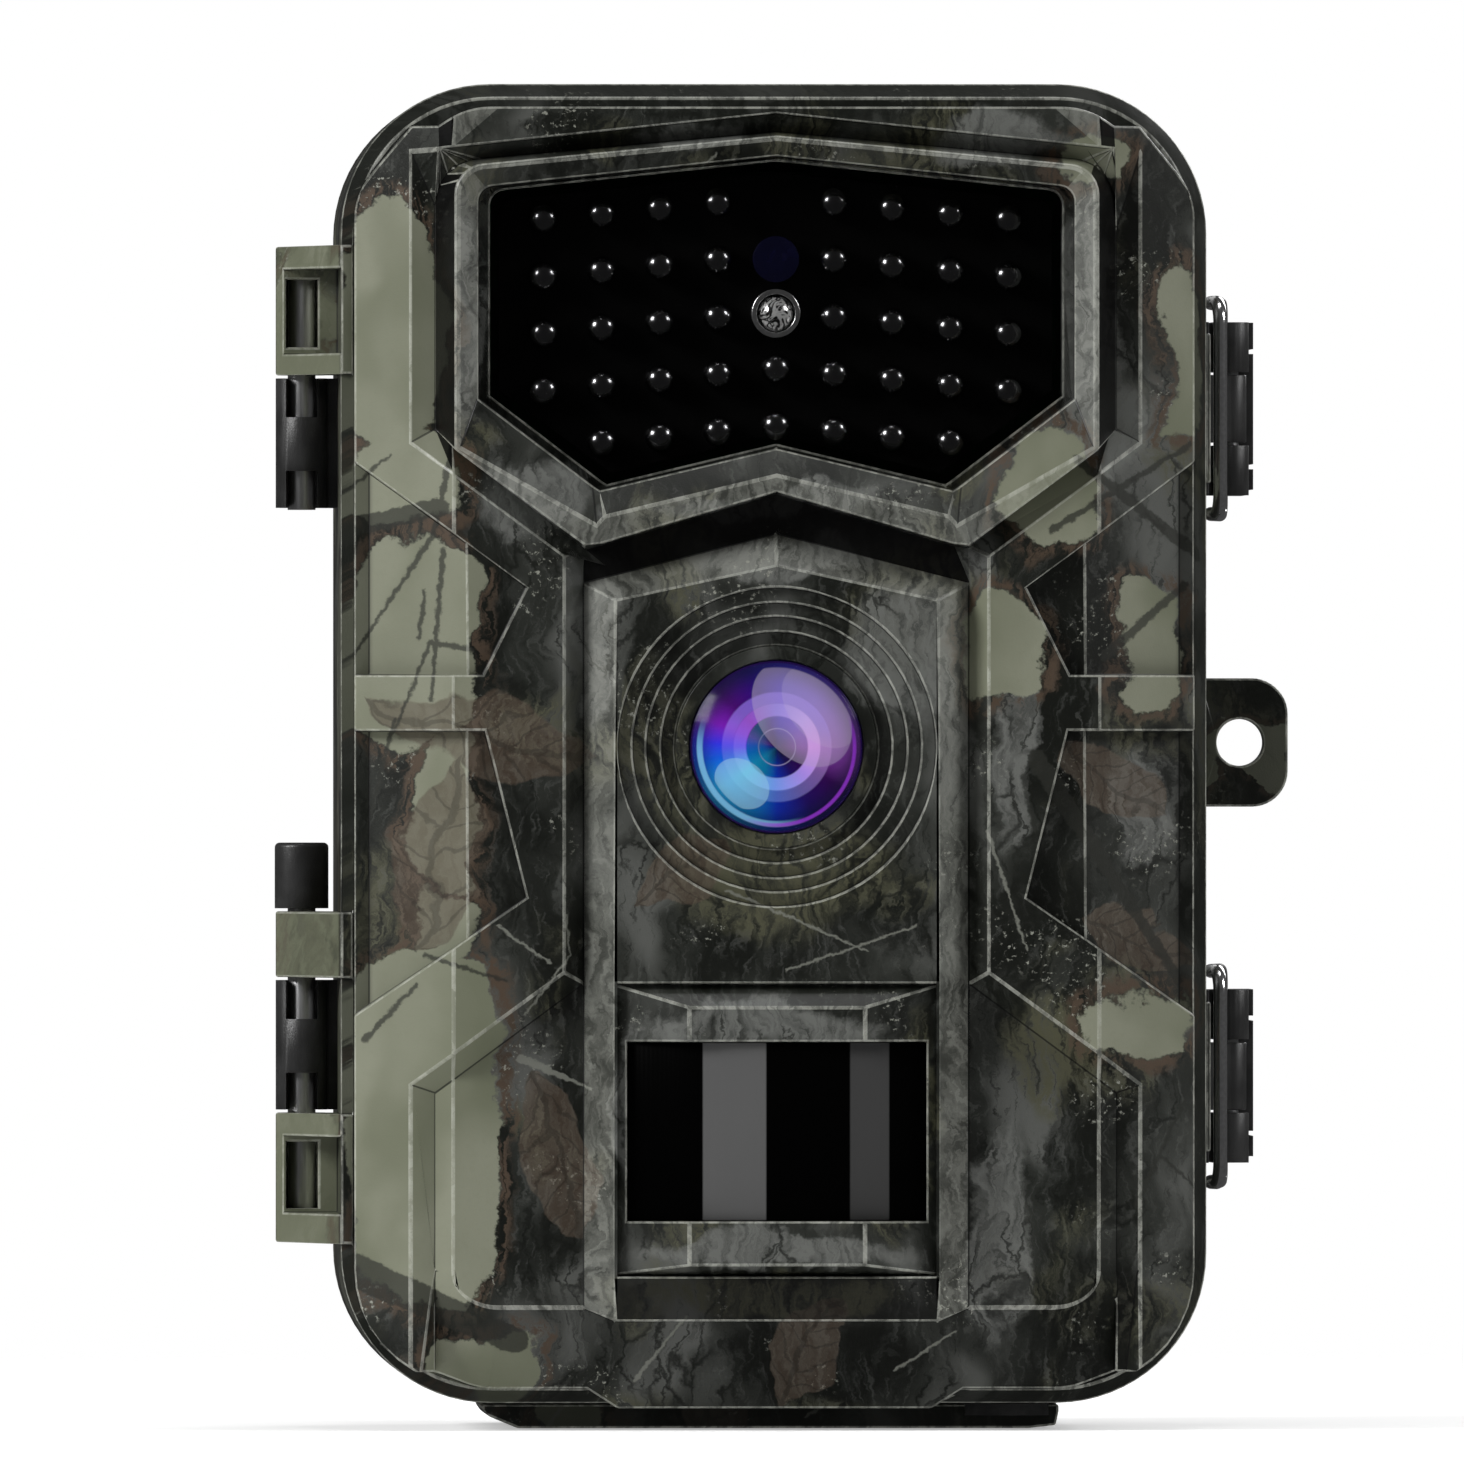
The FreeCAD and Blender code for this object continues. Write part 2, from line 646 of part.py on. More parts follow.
def pin_hole(z0, z1, running):
    r = PIN_R + PIN_RUN if running else PIN_R
    return rod(HINGE_X, Y_PART, z0 - 1, r, z1 - z0 + 2)


def knuckle_window(z0, z1):
    """A slot in the knuckle's front that shows the pin."""
    half = KNUCKLE_WINDOW_HALF
    return box(HINGE_X - half, HINGE_X + half, Y_PART - 2 * KNUCKLE_R, Y_PART - 0.2, z0, z1)


def ear(y0):
    """A padlock ear with rounded outer corners."""
    low, high = EAR_Z
    r = EAR_CORNER_R
    plate = fuse([
        box(HALF_WIDTH - EAR_ROOT, EAR_X - r, y0, y0 + EAR_T, low, high),
        box(EAR_X - r - 0.5, EAR_X, y0, y0 + EAR_T, low + r, high - r),
        rod(EAR_X - r, y0, low + r, r, EAR_T, "y"), rod(EAR_X - r, y0, high - r, r, EAR_T, "y"),
    ])
    return plate.cut(rod(EAR_HOLE[0], y0 - 1, EAR_HOLE[1], EAR_HOLE_R, EAR_T + 2, "y"))


def catch_nose(z):
    """The low nose that the bail lies in front of."""
    outline = [(HALF_WIDTH - 0.5, -13.4), (NOSE_X - 0.4, -13.4), (NOSE_X, -12.9), (NOSE_X, -11.4),
               (HALF_WIDTH, -9.6), (HALF_WIDTH - 0.5, -9.6)]
    return plan_prism(outline, z - NOSE_HALF, z + NOSE_HALF)


def lens_funnel():
    """The stepped recess round the lens, and the hole for the lens barrel."""
    cutters = []
    for i, r in enumerate(FUNNEL_R):
        depth = FUNNEL_STEP * (i + 1)
        cutters.append(rod(0, Y_RIDGE - 1, LENS_Z, r, 1 + depth, "y"))
    cutters.append(rod(0, Y_FAR, LENS_Z, LENS_SEAT_R, 40, "y"))
    return cutters


def scaled_window(across, up):
    """The window's outline scaled about its middle."""
    return [(x * across, WINDOW_MID_Z + (z - WINDOW_MID_Z) * up) for x, z in full_outline(WINDOW_EDGE)]


def window_opening():
    chamfer = front_taper(full_outline(CHAMFER_EDGE), Y_RIDGE, full_outline(WINDOW_EDGE), Y_WINDOW)
    front = front_prism(full_outline(CHAMFER_EDGE), Y_RIDGE, Y_FAR)
    seat = front_prism(full_outline(WINDOW_EDGE), Y_WINDOW, Y_WINDOW + WINDOW_T)
    through = front_prism(scaled_window(*WINDOW_HOLE), Y_WINDOW, Y_CAVITY)
    return [front, chamfer, seat, through]


def front_housing():
    shell = fuse([skirt(), sculpted_plate()])
    shell = cut(shell, front_cavities() + window_opening() + lens_funnel())
    bay = box(-BAY_X, BAY_X, Y_FAR, Y_BAY_BACK, BAY_BOTTOM, BAY_TOP)
    behind_bay = box(-PIR_X + 1, PIR_X - 1, Y_BAY_BACK - 1, Y_CAVITY, PIR_BOTTOM + 1, PIR_TOP - 1)
    shell = cut(shell, [bay, behind_bay])
    extras = [arm(-HALF_WIDTH, Y_SKIRT, z0, z1, -1) for z0, z1 in FRONT_ARMS.values()]
    extras.append(ear(Y_PART - PART_GAP - EAR_T))
    extras += [catch_nose(z) for z in LATCH_Z.values()]
    extras = [cut(extra, [arm_recess(z0, z1) for z0, z1 in ARM_RECESSES]) for extra in extras]
    shell = fuse([shell] + extras)
    shell = cut(shell, [pin_hole(z0, z1, True) for z0, z1 in FRONT_ARMS.values()])
    shell = cut(shell, [knuckle_window(z0, z1) for z0, z1 in FRONT_WINDOWS])
    return shell.cut(rod(*JACK, 0, JACK_HOLE_R, Z_BOTTOM + 2 * WALL))


# ---------- optics and infrared ----------

def infrared_window():
    return front_prism(scaled_window(WINDOW_FIT, WINDOW_FIT), Y_WINDOW, Y_WINDOW + WINDOW_T)


def led_places():
    """Forty places in five drooping rows; the middle column holds the sensor and lamp in its upper half."""
    places = []
    for row, reach in enumerate(LED_ROWS):
        for column in range(-reach, reach + 1):
            if column == 0 and row < LED_OPEN_ROWS:
                continue
            places.append((column * LED_PITCH_X, LED_TOP_Z - row * LED_PITCH_Z - abs(column) * LED_DROOP))
    return places


def domed_rod(x, z, r, bulge, y_rim, y_back):
    """A round body along Y with a domed front, turned as one piece."""
    front, shoulder, back = Vector(x, y_rim - bulge, z), Vector(x + r, y_rim, z), Vector(x + r, y_back, z)
    ball_r = (r ** 2 + bulge ** 2) / (2 * bulge)
    half = math.asin(min(1.0, r / ball_r)) / 2
    middle = Vector(x + ball_r * math.sin(half), y_rim - bulge + ball_r * (1 - math.cos(half)), z)
    end = Vector(x, y_back, z)
    dome = Part.Arc(front, middle, shoulder).toShape()
    edges = [dome, Part.makeLine(shoulder, back), Part.makeLine(back, end), Part.makeLine(end, front)]
    turned = Part.Face(Part.Wire(edges)).revolve(Vector(x, 0, z), Vector(0, 1, 0), 360)
    return Part.Solid(turned)


def led(x, z, r):
    return domed_rod(x, z, r, r * LED_BULGE, LED_BOARD_Y - LED_STEM, LED_BOARD_Y)


def infrared_board():
    return front_prism(scaled_window(*LED_BOARD_FIT), LED_BOARD_Y, LED_BOARD_Y + LED_BOARD_T)


def light_sensor():
    return rod(0, LED_BOARD_Y - SENSOR_H, SENSOR_Z, SENSOR_R, SENSOR_H, "y")


def lamp_ring():
    y = LED_BOARD_Y - LAMP_RING_H
    ring = rod(0, y, LAMP_Z, LAMP_RING_R, LAMP_RING_H, "y")
    return ring.cut(rod(0, y - 1, LAMP_Z, LAMP_RING_BORE, LAMP_RING_H + 2, "y"))


def lens_glass():
    """A dome of the lens radius with a short cylindrical edge."""
    return domed_rod(0, LENS_Z, LENS_R, LENS_BULGE, LENS_RIM_Y, LENS_RIM_Y + LENS_EDGE)


def lens_bezel():
    """The black ring that holds the glass in the housing's funnel."""
    y_seat = LENS_RIM_Y + LENS_EDGE
    ring = rod(0, LENS_RIM_Y + 0.2, LENS_Z, LENS_SEAT_R, LENS_BEZEL_H, "y")
    seat = rod(0, y_seat - 2.0, LENS_Z, LENS_R, 2.0, "y")
    return cut(ring, [seat, rod(0, y_seat - 2.0, LENS_Z, LENS_BEZEL_BORE, 2 * LENS_BEZEL_H, "y")])


def lens_barrel():
    front, back = LENS_BARREL_Y
    barrel = rod(0, front, LENS_Z, LENS_BARREL_R, back - front, "y")
    return barrel.cut(rod(0, front - 1, LENS_Z, LENS_STOP_R, LENS_STOP_DEPTH + 1, "y"))


def lens_holder():
    half, y = LENS_HOLDER_HALF, LENS_BARREL_Y[1]
    return box(-half, half, y, y + LENS_HOLDER_T, LENS_Z - half, LENS_Z + half)


def sensor_board():
    half, y = SENSOR_BOARD_HALF, LENS_BARREL_Y[1] + LENS_HOLDER_T
    return box(-half, half, y, y + SENSOR_BOARD_T, LENS_Z - half, LENS_Z + half)


# ---------- motion sensor ----------

def bay_plan(inset, y_back):
    return [
        (-BAY_X + inset, y_back), (-BAY_X + inset, Y_BAY_SIDE + inset), (-BAY_MID_X, Y_BAY + inset),
        (BAY_MID_X, Y_BAY + inset), (BAY_X - inset, Y_BAY_SIDE + inset), (BAY_X - inset, y_back),
    ]


def slope_cut(slope, above):
    """What lies above (or below) a plane whose heights are given at the hood's front and at its side."""
    z_front, z_side = slope
    run = (z_side - z_front) / (Y_BAY_SIDE - Y_BAY)
    profile = [(y, z_front + run * (y - Y_BAY)) for y in (Y_FAR, Y_CAVITY)]
    profile += [(Y_CAVITY, ABOVE if above else BELOW), (Y_FAR, ABOVE if above else BELOW)]
    points = [Vector(-BAY_X - 1, y, z) for y, z in profile]
    return Part.Face(Part.makePolygon(points + points[:1])).extrude(Vector(2 * BAY_X + 2, 0, 0))


def pir_frame():
    bay = plan_prism(bay_plan(PIR_GAP, Y_BAY_BACK), BAY_BOTTOM + PIR_GAP, BAY_TOP - PIR_GAP)
    window = box(-PIR_X, PIR_X, Y_FAR, Y_BAY_BACK + 1, PIR_BOTTOM, PIR_TOP)
    return cut(bay, [window, slope_cut(BAY_TOP_SLOPE, True), slope_cut(BAY_BOTTOM_SLOPE, False)])


def pir_lens():
    """A curved black lens, convex to the front."""
    half = PIR_X - PIR_GAP
    low, high = PIR_BOTTOM + PIR_GAP, PIR_TOP - PIR_GAP
    centre = PIR_LENS_SIDE_Y + math.sqrt(PIR_LENS_R ** 2 - half ** 2)
    outer = rod(0, centre, low, PIR_LENS_R, high - low)
    inner = rod(0, centre, PIR_BOTTOM, PIR_LENS_R - PIR_LENS_T, PIR_TOP - PIR_BOTTOM)
    return outer.cut(inner).common(box(-half, half, Y_FAR, Y_BAY_BACK, low, high))


def pir_sensor():
    z = (PIR_TOP + PIR_BOTTOM) / 2
    back = PIR_CAN_Y + PIR_CAN_H
    parts = [rod(0, PIR_CAN_Y, z, PIR_CAN_R, PIR_CAN_H, "y"),
             rod(0, back - PIR_FLANGE_T + 0.2, z, PIR_FLANGE_R, PIR_FLANGE_T, "y")]
    for a in PIR_PIN_ANGLES:
        x, up = PIR_PIN_CIRCLE_R * math.cos(a), PIR_PIN_CIRCLE_R * math.sin(a)
        parts.append(rod(x, back - 0.2, z + up, PIR_PIN_R, PIR_PIN_H, "y"))
    return fuse(parts)


# ---------- electronics behind the panel ----------

def main_board():
    low, high = BOARD_Z
    board = rounded_block(BOARD_X, low, high, 3.0, Y_BOARD - BOARD_T, Y_BOARD)
    return cut(board, [rod(x, Y_CAVITY, z, BOARD_HOLE_R, -Y_CAVITY, "y") for x, z in BOARD_SCREWS])


def driver_slot(x, y, z, half, width, depth):
    """The screwdriver slot in a head whose top is at y."""
    return box(x - half, x + half, y - depth, y + depth, z - width, z + width)


def board_posts():
    """Moulded posts that carry the main board, one solid each, with their screws through the board."""
    posts = []
    screws = []
    root, bore, tip = POST_Y
    head_r, head_h = BOARD_HEAD
    for x, z in BOARD_SCREWS:
        post = rod(x, root, z, POST_R, Y_BOARD - BOARD_T - root, "y")
        posts.append(post.cut(rod(x, bore, z, POST_BORE_R, -bore, "y")))
        shank = rod(x, tip, z, POST_BORE_R, Y_BOARD - tip, "y")
        screw = fuse([shank, rod(x, Y_BOARD, z, head_r, head_h, "y")])
        screws.append(screw.cut(driver_slot(x, Y_BOARD + head_h, z, 1.3, SLOT_HALF, 0.5)))
    return posts, screws


def tact_switches():
    switches = []
    for x, z in KEYS.values():
        body = box(x - TACT_HALF, x + TACT_HALF, Y_BOARD, Y_BOARD + TACT_H, z - TACT_HALF, z + TACT_HALF)
        switches.append(fuse([body, rod(x, Y_BOARD + TACT_H, z, TACT_STEM_R, TACT_STEM_H, "y")]))
    return switches


def screen():
    low, high = SCREEN_Z
    return box(-SCREEN_X - SCREEN_RIM, SCREEN_X + SCREEN_RIM, *SCREEN_Y, low - SCREEN_RIM, high + SCREEN_RIM)


def key(x, z):
    """A round key with a retaining flange behind the panel."""
    y_back = Y_BOARD + KEY_LIFT
    cap = rod(x, y_back, z, KEY_R, Y_PANEL + KEY_PROUD - y_back, "y")
    y_flange = Y_PANEL - PANEL_T - KEY_FLANGE_GAP - KEY_FLANGE
    return fuse([cap, rod(x, y_flange, z, KEY_R + KEY_FLANGE, KEY_FLANGE, "y")])


def panel_hole(x, z, size):
    """A rectangular hole right through the panel; size is its half width and half height."""
    across, up = size
    return box(x - across, x + across, Y_BOARD, 0, z - up, z + up)


def inner_panel():
    """The closing plate behind the electronics, which faces the user when the camera is open."""
    inset = WALL + PANEL_GAP
    panel = rounded_block(HALF_WIDTH - inset, Z_BOTTOM + inset, Z_TOP - inset, CORNER_R - inset,
                          Y_PANEL - PANEL_T, Y_PANEL)
    low, high = SCREEN_Z
    cutters = [panel_hole(0, (low + high) / 2, (SCREEN_X, (high - low) / 2))]
    cutters += [rod(x, Y_BOARD, z, KEY_R + KEY_GAP, -Y_BOARD, "y") for x, z in KEYS.values()]
    cutters.append(panel_hole(*SWITCH, SWITCH_OPENING))
    cutters.append(panel_hole(0, CARD_Z, CARD_OPENING))
    cutters.append(panel_hole(USB_X, USB_Z, USB_OPENING))
    cutters += [rod(x, Y_BOARD, z, PANEL_HOLE_R, -Y_BOARD, "y") for x, z in PANEL_SCREWS]
    return cut(panel, cutters)


def panel_screws():
    screws = []
    head_r, head_h = PANEL_HEAD
    for x, z in PANEL_SCREWS:
        head = Part.makeCone(PANEL_HOLE_R, head_r, head_h, Vector(x, Y_PANEL, z), Vector(0, 1, 0))
        shank = rod(x, PANEL_SCREW_TIP_Y, z, PANEL_SHANK_R, Y_PANEL - PANEL_SCREW_TIP_Y, "y")
        screws.append(fuse([shank, head]).cut(driver_slot(x, Y_PANEL + head_h, z, 1.2, SLOT_HALF, 0.5)))
    return screws


def mode_switch_body():
    x, z = SWITCH
    across, up = SWITCH_BODY
    body = box(x - across, x + across, Y_BOARD, SWITCH_TOP_Y, z - up, z + up)
    across, up = SWITCH_TRACK
    return body.cut(box(x - across, x + across, SWITCH_FLOOR_Y, 0, z - up, z + up))


def mode_switch_knob():
    """The slider: a neck in the track and a wider cap outside it."""
    x, z = SWITCH
    low, high = KNOB_X
    neck, cap = KNOB_HALF
    return fuse([
        box(x + low, x + high, *KNOB_NECK_Y, z - neck, z + neck),
        box(x + low, x + high, KNOB_NECK_Y[1], Y_PANEL + KNOB_PROUD, z - cap, z + cap),
    ])


def card_slot():
    across, up = CAGE
    back, floor, mouth = CAGE_Y
    cage = box(-across, across, back, mouth, CARD_Z - up, CARD_Z + up)
    across, up = CAGE_BORE
    return cage.cut(box(-across, across, floor, 0, CARD_Z - up, CARD_Z + up))


def memory_card():
    across, up = CARD
    return box(-across, across, *CARD_Y, CARD_Z - up, CARD_Z + up)


def usb_block(size, y0, y1):
    across, up = size
    return box(USB_X - across, USB_X + across, y0, y1, USB_Z - up, USB_Z + up)


def usb_port():
    back, floor, mouth = USB_Y
    shell = usb_block(USB_SHELL, back, mouth).cut(usb_block(USB_BORE, floor, 0))
    return fuse([shell, usb_block(USB_TONGUE, floor - 0.1, mouth - 0.9)])


def dc_jack():
    base = Z_BOTTOM + WALL
    sleeve = rod(*JACK, base, JACK_R, JACK_H).cut(rod(*JACK, 0, JACK_BORE_R, base + JACK_H - 1.6))
    return fuse([sleeve, rod(*JACK, base + 1.0, JACK_PIN_R, JACK_H - 2.0)])


def port_plug():
    """A rubber plug that closes the jack from below."""
    flange_r, flange_t = PLUG_FLANGE
    stem_r, stem_h = PLUG_STEM
    flange = rod(*JACK, Z_BOTTOM - flange_t - 0.1, flange_r, flange_t)
    stem = rod(*JACK, Z_BOTTOM - 0.2, stem_r, stem_h)
    return fuse([flange, stem.cut(rod(*JACK, Z_BOTTOM + flange_t, PLUG_BORE_R, stem_h))])


def speaker():
    x, z = SPEAKER
    front, step, back = SPEAKER_Y
    wide, narrow = SPEAKER_R
    cone = rod(x, front, z, wide, step - front, "y")
    magnet = rod(x, step - 0.2, z, narrow, back - step + 0.2, "y")
    return fuse([cone, magnet])


def microphone():
    x, z = MICROPHONE
    front, back = MICROPHONE_Y
    return rod(x, front, z, MICROPHONE_R, back - front, "y")


# ---------- rear housing ----------

def rear_outer():
    body = rounded_block(HALF_WIDTH, Z_BOTTOM, Z_TOP, CORNER_R, Y_PART + PART_GAP, Y_BACK - REAR_TURN)
    full = (HALF_WIDTH, Z_BOTTOM, Z_TOP, CORNER_R)
    small = (HALF_WIDTH - REAR_INSET, Z_BOTTOM + REAR_INSET, Z_TOP - REAR_INSET, CORNER_R - REAR_INSET)
    return fuse([body, rounded_taper(full, Y_BACK - REAR_TURN, small, Y_BACK)])


def rear_cavity():
    inset = REAR_INSET + WALL
    full = (HALF_WIDTH - WALL, Z_BOTTOM + WALL, Z_TOP - WALL, CORNER_R - WALL)
    small = (HALF_WIDTH - inset, Z_BOTTOM + inset, Z_TOP - inset, CORNER_R - inset)
    y_turn = Y_BACK - REAR_TURN - 1.5
    return fuse([rounded_block(*full, Y_PART - 1, y_turn), rounded_taper(full, y_turn, small, Y_BACK - WALL)])


def foot():
    """The foot's profile across x, with the forward lip left clear of the front housing."""
    lip = front_prism(FOOT_OUTLINE, FOOT_FRONT, FOOT_BACK)
    upper = FOOT_OUTLINE[1:-1] + [(FOOT_X, FOOT_TOP), (-FOOT_X, FOOT_TOP)]
    return fuse([lip, front_prism(upper, Y_PART + PART_GAP, FOOT_BACK)])


def rim_block(offset, y0, y1):
    """A rounded block this far inside the rear housing's outline."""
    return rounded_block(HALF_WIDTH - offset, Z_BOTTOM + offset, Z_TOP - offset, CORNER_R - offset, y0, y1)


def gasket_ring(y0, y1):
    outer = rim_block(GASKET_MID - GASKET_HALF, y0, y1)
    return outer.cut(rim_block(GASKET_MID + GASKET_HALF, y0 - 1, y1 + 1))


def rear_housing():
    shell = cut(rear_outer(), [rear_cavity()])
    boss = rod(0, 0, Z_BOTTOM, INSERT_R + BOSS_WALL, BOSS_H)
    shell = fuse([shell, foot(), boss, ear(Y_PART + PART_GAP)])
    rim = Y_PART + PART_GAP
    cutters = [rod(0, 0, -1, INSERT_R, INSERT_H + 1), gasket_ring(rim - 1.0, rim + GASKET_DEPTH)]
    cutters += [rod(x, Y_BACK - WALL - 1, z, BRACKET_PILOT_R, WALL + 2, "y") for x, z in BRACKET_SCREWS]
    return cut(shell, cutters)


def gasket():
    rim = Y_PART + PART_GAP
    return gasket_ring(rim - GASKET_PROUD, rim + GASKET_DEPTH)


def tripod_insert():
    insert = rod(0, 0, 0, INSERT_R, INSERT_H)
    return insert.cut(rod(0, 0, -1, SOCKET_R, SOCKET_H + 1))


def hinge_barrel(z0, z1):
    """A black barrel on the rear housing: a full sleeve in the middle, open cradles above and below."""
    barrel = arm(-HALF_WIDTH - ARM_ROOT, BARREL_ARM_Y, z0, z1, 1)
    barrel = barrel.cut(pin_hole(z0, z1, False))
    return cut(barrel, [knuckle_window(z0 - 1, z0 + CRADLE_LOW), knuckle_window(z1 - CRADLE_HIGH, z1 + 1)])


def hinge_pin(z0, z1):
    return rod(HINGE_X, Y_PART, z0, PIN_R, z1 - z0)


def hinge_cap():
    top = CAP_Z + CAP_H
    cap = rod(HINGE_X, Y_PART, CAP_Z, KNUCKLE_R + 0.1, CAP_H)
    cap = cap.makeFillet(CAP_ROUND, [edge for edge in cap.Edges if edge.BoundBox.ZMin > top - CAP_ROUND])
    return cap.cut(rod(HINGE_X, Y_PART, CAP_Z - 1, PIN_R, CAP_BORE_TOP - CAP_Z + 1))


# ---------- latches ----------

def latch_base(z):
    """A thin plate on the rear housing with the ear that holds the lever's pin."""
    x, y = PIVOT
    half = PIVOT_EAR_HALF
    plate = box(HALF_WIDTH, NOSE_X, *BASE_Y, z - LATCH_HALF, z + LATCH_HALF)
    outline = [(HALF_WIDTH, y - 2.4), (x, y - 1.6), (x, y + 1.6), (HALF_WIDTH, y + 2.4)]
    ear_block = plan_prism(outline, z - half, z + half)
    knob = rod(x, y, z - half, 1.6, 2 * half)
    return fuse([plate, ear_block, knob]).cut(rod(x, y, z - 2 * half, LATCH_PIN_R, 4 * half))


def latch_pin(z):
    return rod(*PIVOT, z - LATCH_PIN_HALF, LATCH_PIN_R, 2 * LATCH_PIN_HALF)


def cheek_outline():
    """Plan outline of a lever cheek between the lever pivot and the bail pivot."""
    return [(44.75, -3.5), (44.45, 4.2), (45.0, 5.4), (46.4, 6.0), (48.0, 6.0), (48.0, -3.5)]


def lever_plates(z):
    """The lever's back plate, its outer grip and the ridge along its front edge."""
    low, high = z - LATCH_HALF, z + LATCH_HALF
    outline = [(47.2, -1.2), (48.2, -1.2), (48.2, 12.4), (46.2, 12.4), (46.2, 10.6), (47.2, 9.0)]
    grip = box(48.1, 49.05, 1.0, 12.8, low + 0.6, high)
    ridge = box(46.9, 47.4, -1.9, 0.5, low, high)
    return [plan_prism(outline, low, high), grip, ridge]


def latch_lever(z):
    """The black lever: two cheeks, a broad back plate and an outer grip with two notches."""
    inner = PIVOT_EAR_HALF + CHEEK_GAP
    solids = lever_plates(z)
    cutters = [rod(*PIVOT, z - LATCH_HALF - 1, LATCH_PIN_R + PIN_RUN, 2 * LATCH_HALF + 2)]
    for sign in (-1, 1):
        z0 = min(z + sign * inner, z + sign * LATCH_HALF)
        solids.append(plan_prism(cheek_outline(), z0, z0 + LATCH_HALF - inner))
        solids.append(rod(*PIVOT, z0, CHEEK_R, LATCH_HALF - inner))
        socket = min(z + sign * BAIL_SOCKET_Z, z + sign * (BAIL_SOCKET_Z + BAIL_SOCKET_H))
        cutters.append(rod(*BAIL_PIVOT, socket, WIRE_R + PIN_RUN, BAIL_SOCKET_H))
        notch = z + sign * GRIP_NOTCH_Z
        cutters.append(box(48.5, 50, 0, 14, notch - GRIP_NOTCH_HALF, notch + GRIP_NOTCH_HALF))
    return cut(fuse(solids), cutters)


def rounded_path(points, radii):
    """Straight runs joined by tangent arcs."""
    edges = []
    start = points[0]
    for i in range(1, len(points) - 1):
        corner, r = points[i], radii[i - 1]
        back = (points[i - 1] - corner).normalize()
        ahead = (points[i + 1] - corner).normalize()
        half = back.getAngle(ahead) / 2
        reach = r / math.tan(half)
        first = corner + back * reach
        last = corner + ahead * reach
        towards = (back + ahead).normalize()
        middle = corner + towards * (r / math.sin(half) - r)
        edges.append(Part.makeLine(start, first))
        edges.append(Part.Arc(first, middle, last).toShape())
        start = last
    edges.append(Part.makeLine(start, points[-1]))
    return Part.Wire(edges)


def bail(z):
    """A wire loop: a bar in front, two arms that dip towards the housing, and tips in the lever."""
    px, py = BAIL_PIVOT
    bx, by = BAIL_BAR
    dx, dy = BAIL_DIP
    top, low, tip = z + BAIL_ARM_Z, z - BAIL_ARM_Z, BAIL_TIP_Z
    points = [
        Vector(px, py, z + tip), Vector(px, py, top), Vector(dx, dy, top), Vector(bx, by, top),
        Vector(bx, by, low), Vector(dx, dy, low), Vector(px, py, low), Vector(px, py, z - tip),
    ]
    path = rounded_path(points, BAIL_BENDS)
    profile = Part.Wire(Part.makeCircle(WIRE_R, points[0], Vector(0, 0, 1)))
    return path.makePipeShell([profile], True, False)


# ---------- batteries ----------

def cell(x, z):
    body = rod(x, CELL_Y, z, CELL_R, CELL_H - CELL_NUB)
    return fuse([body, rod(x, CELL_Y, z + CELL_H - CELL_NUB, CELL_NUB_R, CELL_NUB)])


def battery_tray():
    low, high = TRAY_Z
    end_y, front_y, back_y = TRAY_Y
    inner = (low + TRAY_WALL, high - TRAY_WALL)
    cradle = box(-TRAY_X, TRAY_X, front_y, back_y, low, high)
    channels = [rod(x, CELL_Y, inner[0], CELL_R + CELL_GAP, inner[1] - inner[0]) for x in CELL_COLUMNS]
    opening = box(-TRAY_X + TRAY_SIDE, TRAY_X - TRAY_SIDE, front_y - 1.0, CELL_Y, *inner)
    ends = [box(-TRAY_X, TRAY_X, end_y, front_y + 0.5, z0, z0 + TRAY_WALL) for z0 in (low, inner[1])]
    return fuse([cut(cradle, [opening] + channels)] + ends)


def contact_spring(x):
    """A leaf spring under the lower cell: a base strip and a tongue that rises to the cell."""
    low = TRAY_Z[0] + TRAY_WALL + SPRING_LIFT
    rise = CELL_Z - 0.05 - low
    t = SPRING_T
    profile = [(-4.0, 0.0), (4.0, 0.0), (4.0, t), (-3.2, t), (0.0, rise - t), (3.0, rise - t - 0.5),
               (3.0, rise - 0.5), (0.0, rise), (-0.4, rise - 0.1), (-4.0, t + 0.2)]
    points = [Vector(x + across, CELL_Y - SPRING_WIDTH / 2, low + up) for across, up in profile]
    return Part.Face(Part.makePolygon(points + points[:1])).extrude(Vector(0, SPRING_WIDTH, 0))


def contact_plate(x):
    z = CELL_Z + 2 * CELL_H
    half = CONTACT_HALF
    return box(x - half, x + half, CELL_Y - half, CELL_Y + half, z, z + SPRING_T)


# ---------- rear bracket ----------

def bracket_teeth():
    """Upright teeth on both rails that grip the tree."""
    teeth = []
    root, tip = Y_BRACKET - 0.2, Y_BRACKET + TOOTH_H
    for i in range(TEETH):
        x = (i - (TEETH - 1) / 2) * TOOTH_PITCH
        outline = [(x - TOOTH_HALF, root), (x + TOOTH_HALF, root), (x, tip)]
        teeth.append(plan_prism(outline, BRACKET_Z[0], STRAP_Z[0] - 1))
        teeth.append(plan_prism(outline, STRAP_Z[1] + 1, BRACKET_Z[1]))
    return teeth


def tree_bracket():
    """Two rails and a plate: the strap runs behind the plate, and the teeth grip the tree."""
    low, high = BRACKET_Z
    s_low, s_high = STRAP_Z
    rails = [box(-BRACKET_X, BRACKET_X, Y_BACK, Y_BRACKET, low, s_low),
             box(-BRACKET_X, BRACKET_X, Y_BACK, Y_BRACKET, s_high, high)]
    plate = box(-BRACKET_X, BRACKET_X, Y_BRACKET - BRACKET_PLATE, Y_BRACKET, low, high)
    cutters = []
    sink_r, sink_depth = BRACKET_SINK
    for x, z in BRACKET_SCREWS:
        cutters.append(rod(x, Y_BACK - 1, z, BRACKET_HOLE_R, 20, "y"))
        cutters.append(rod(x, Y_BRACKET - sink_depth, z, sink_r, 10, "y"))
    return cut(fuse(rails + [plate] + bracket_teeth()), cutters)


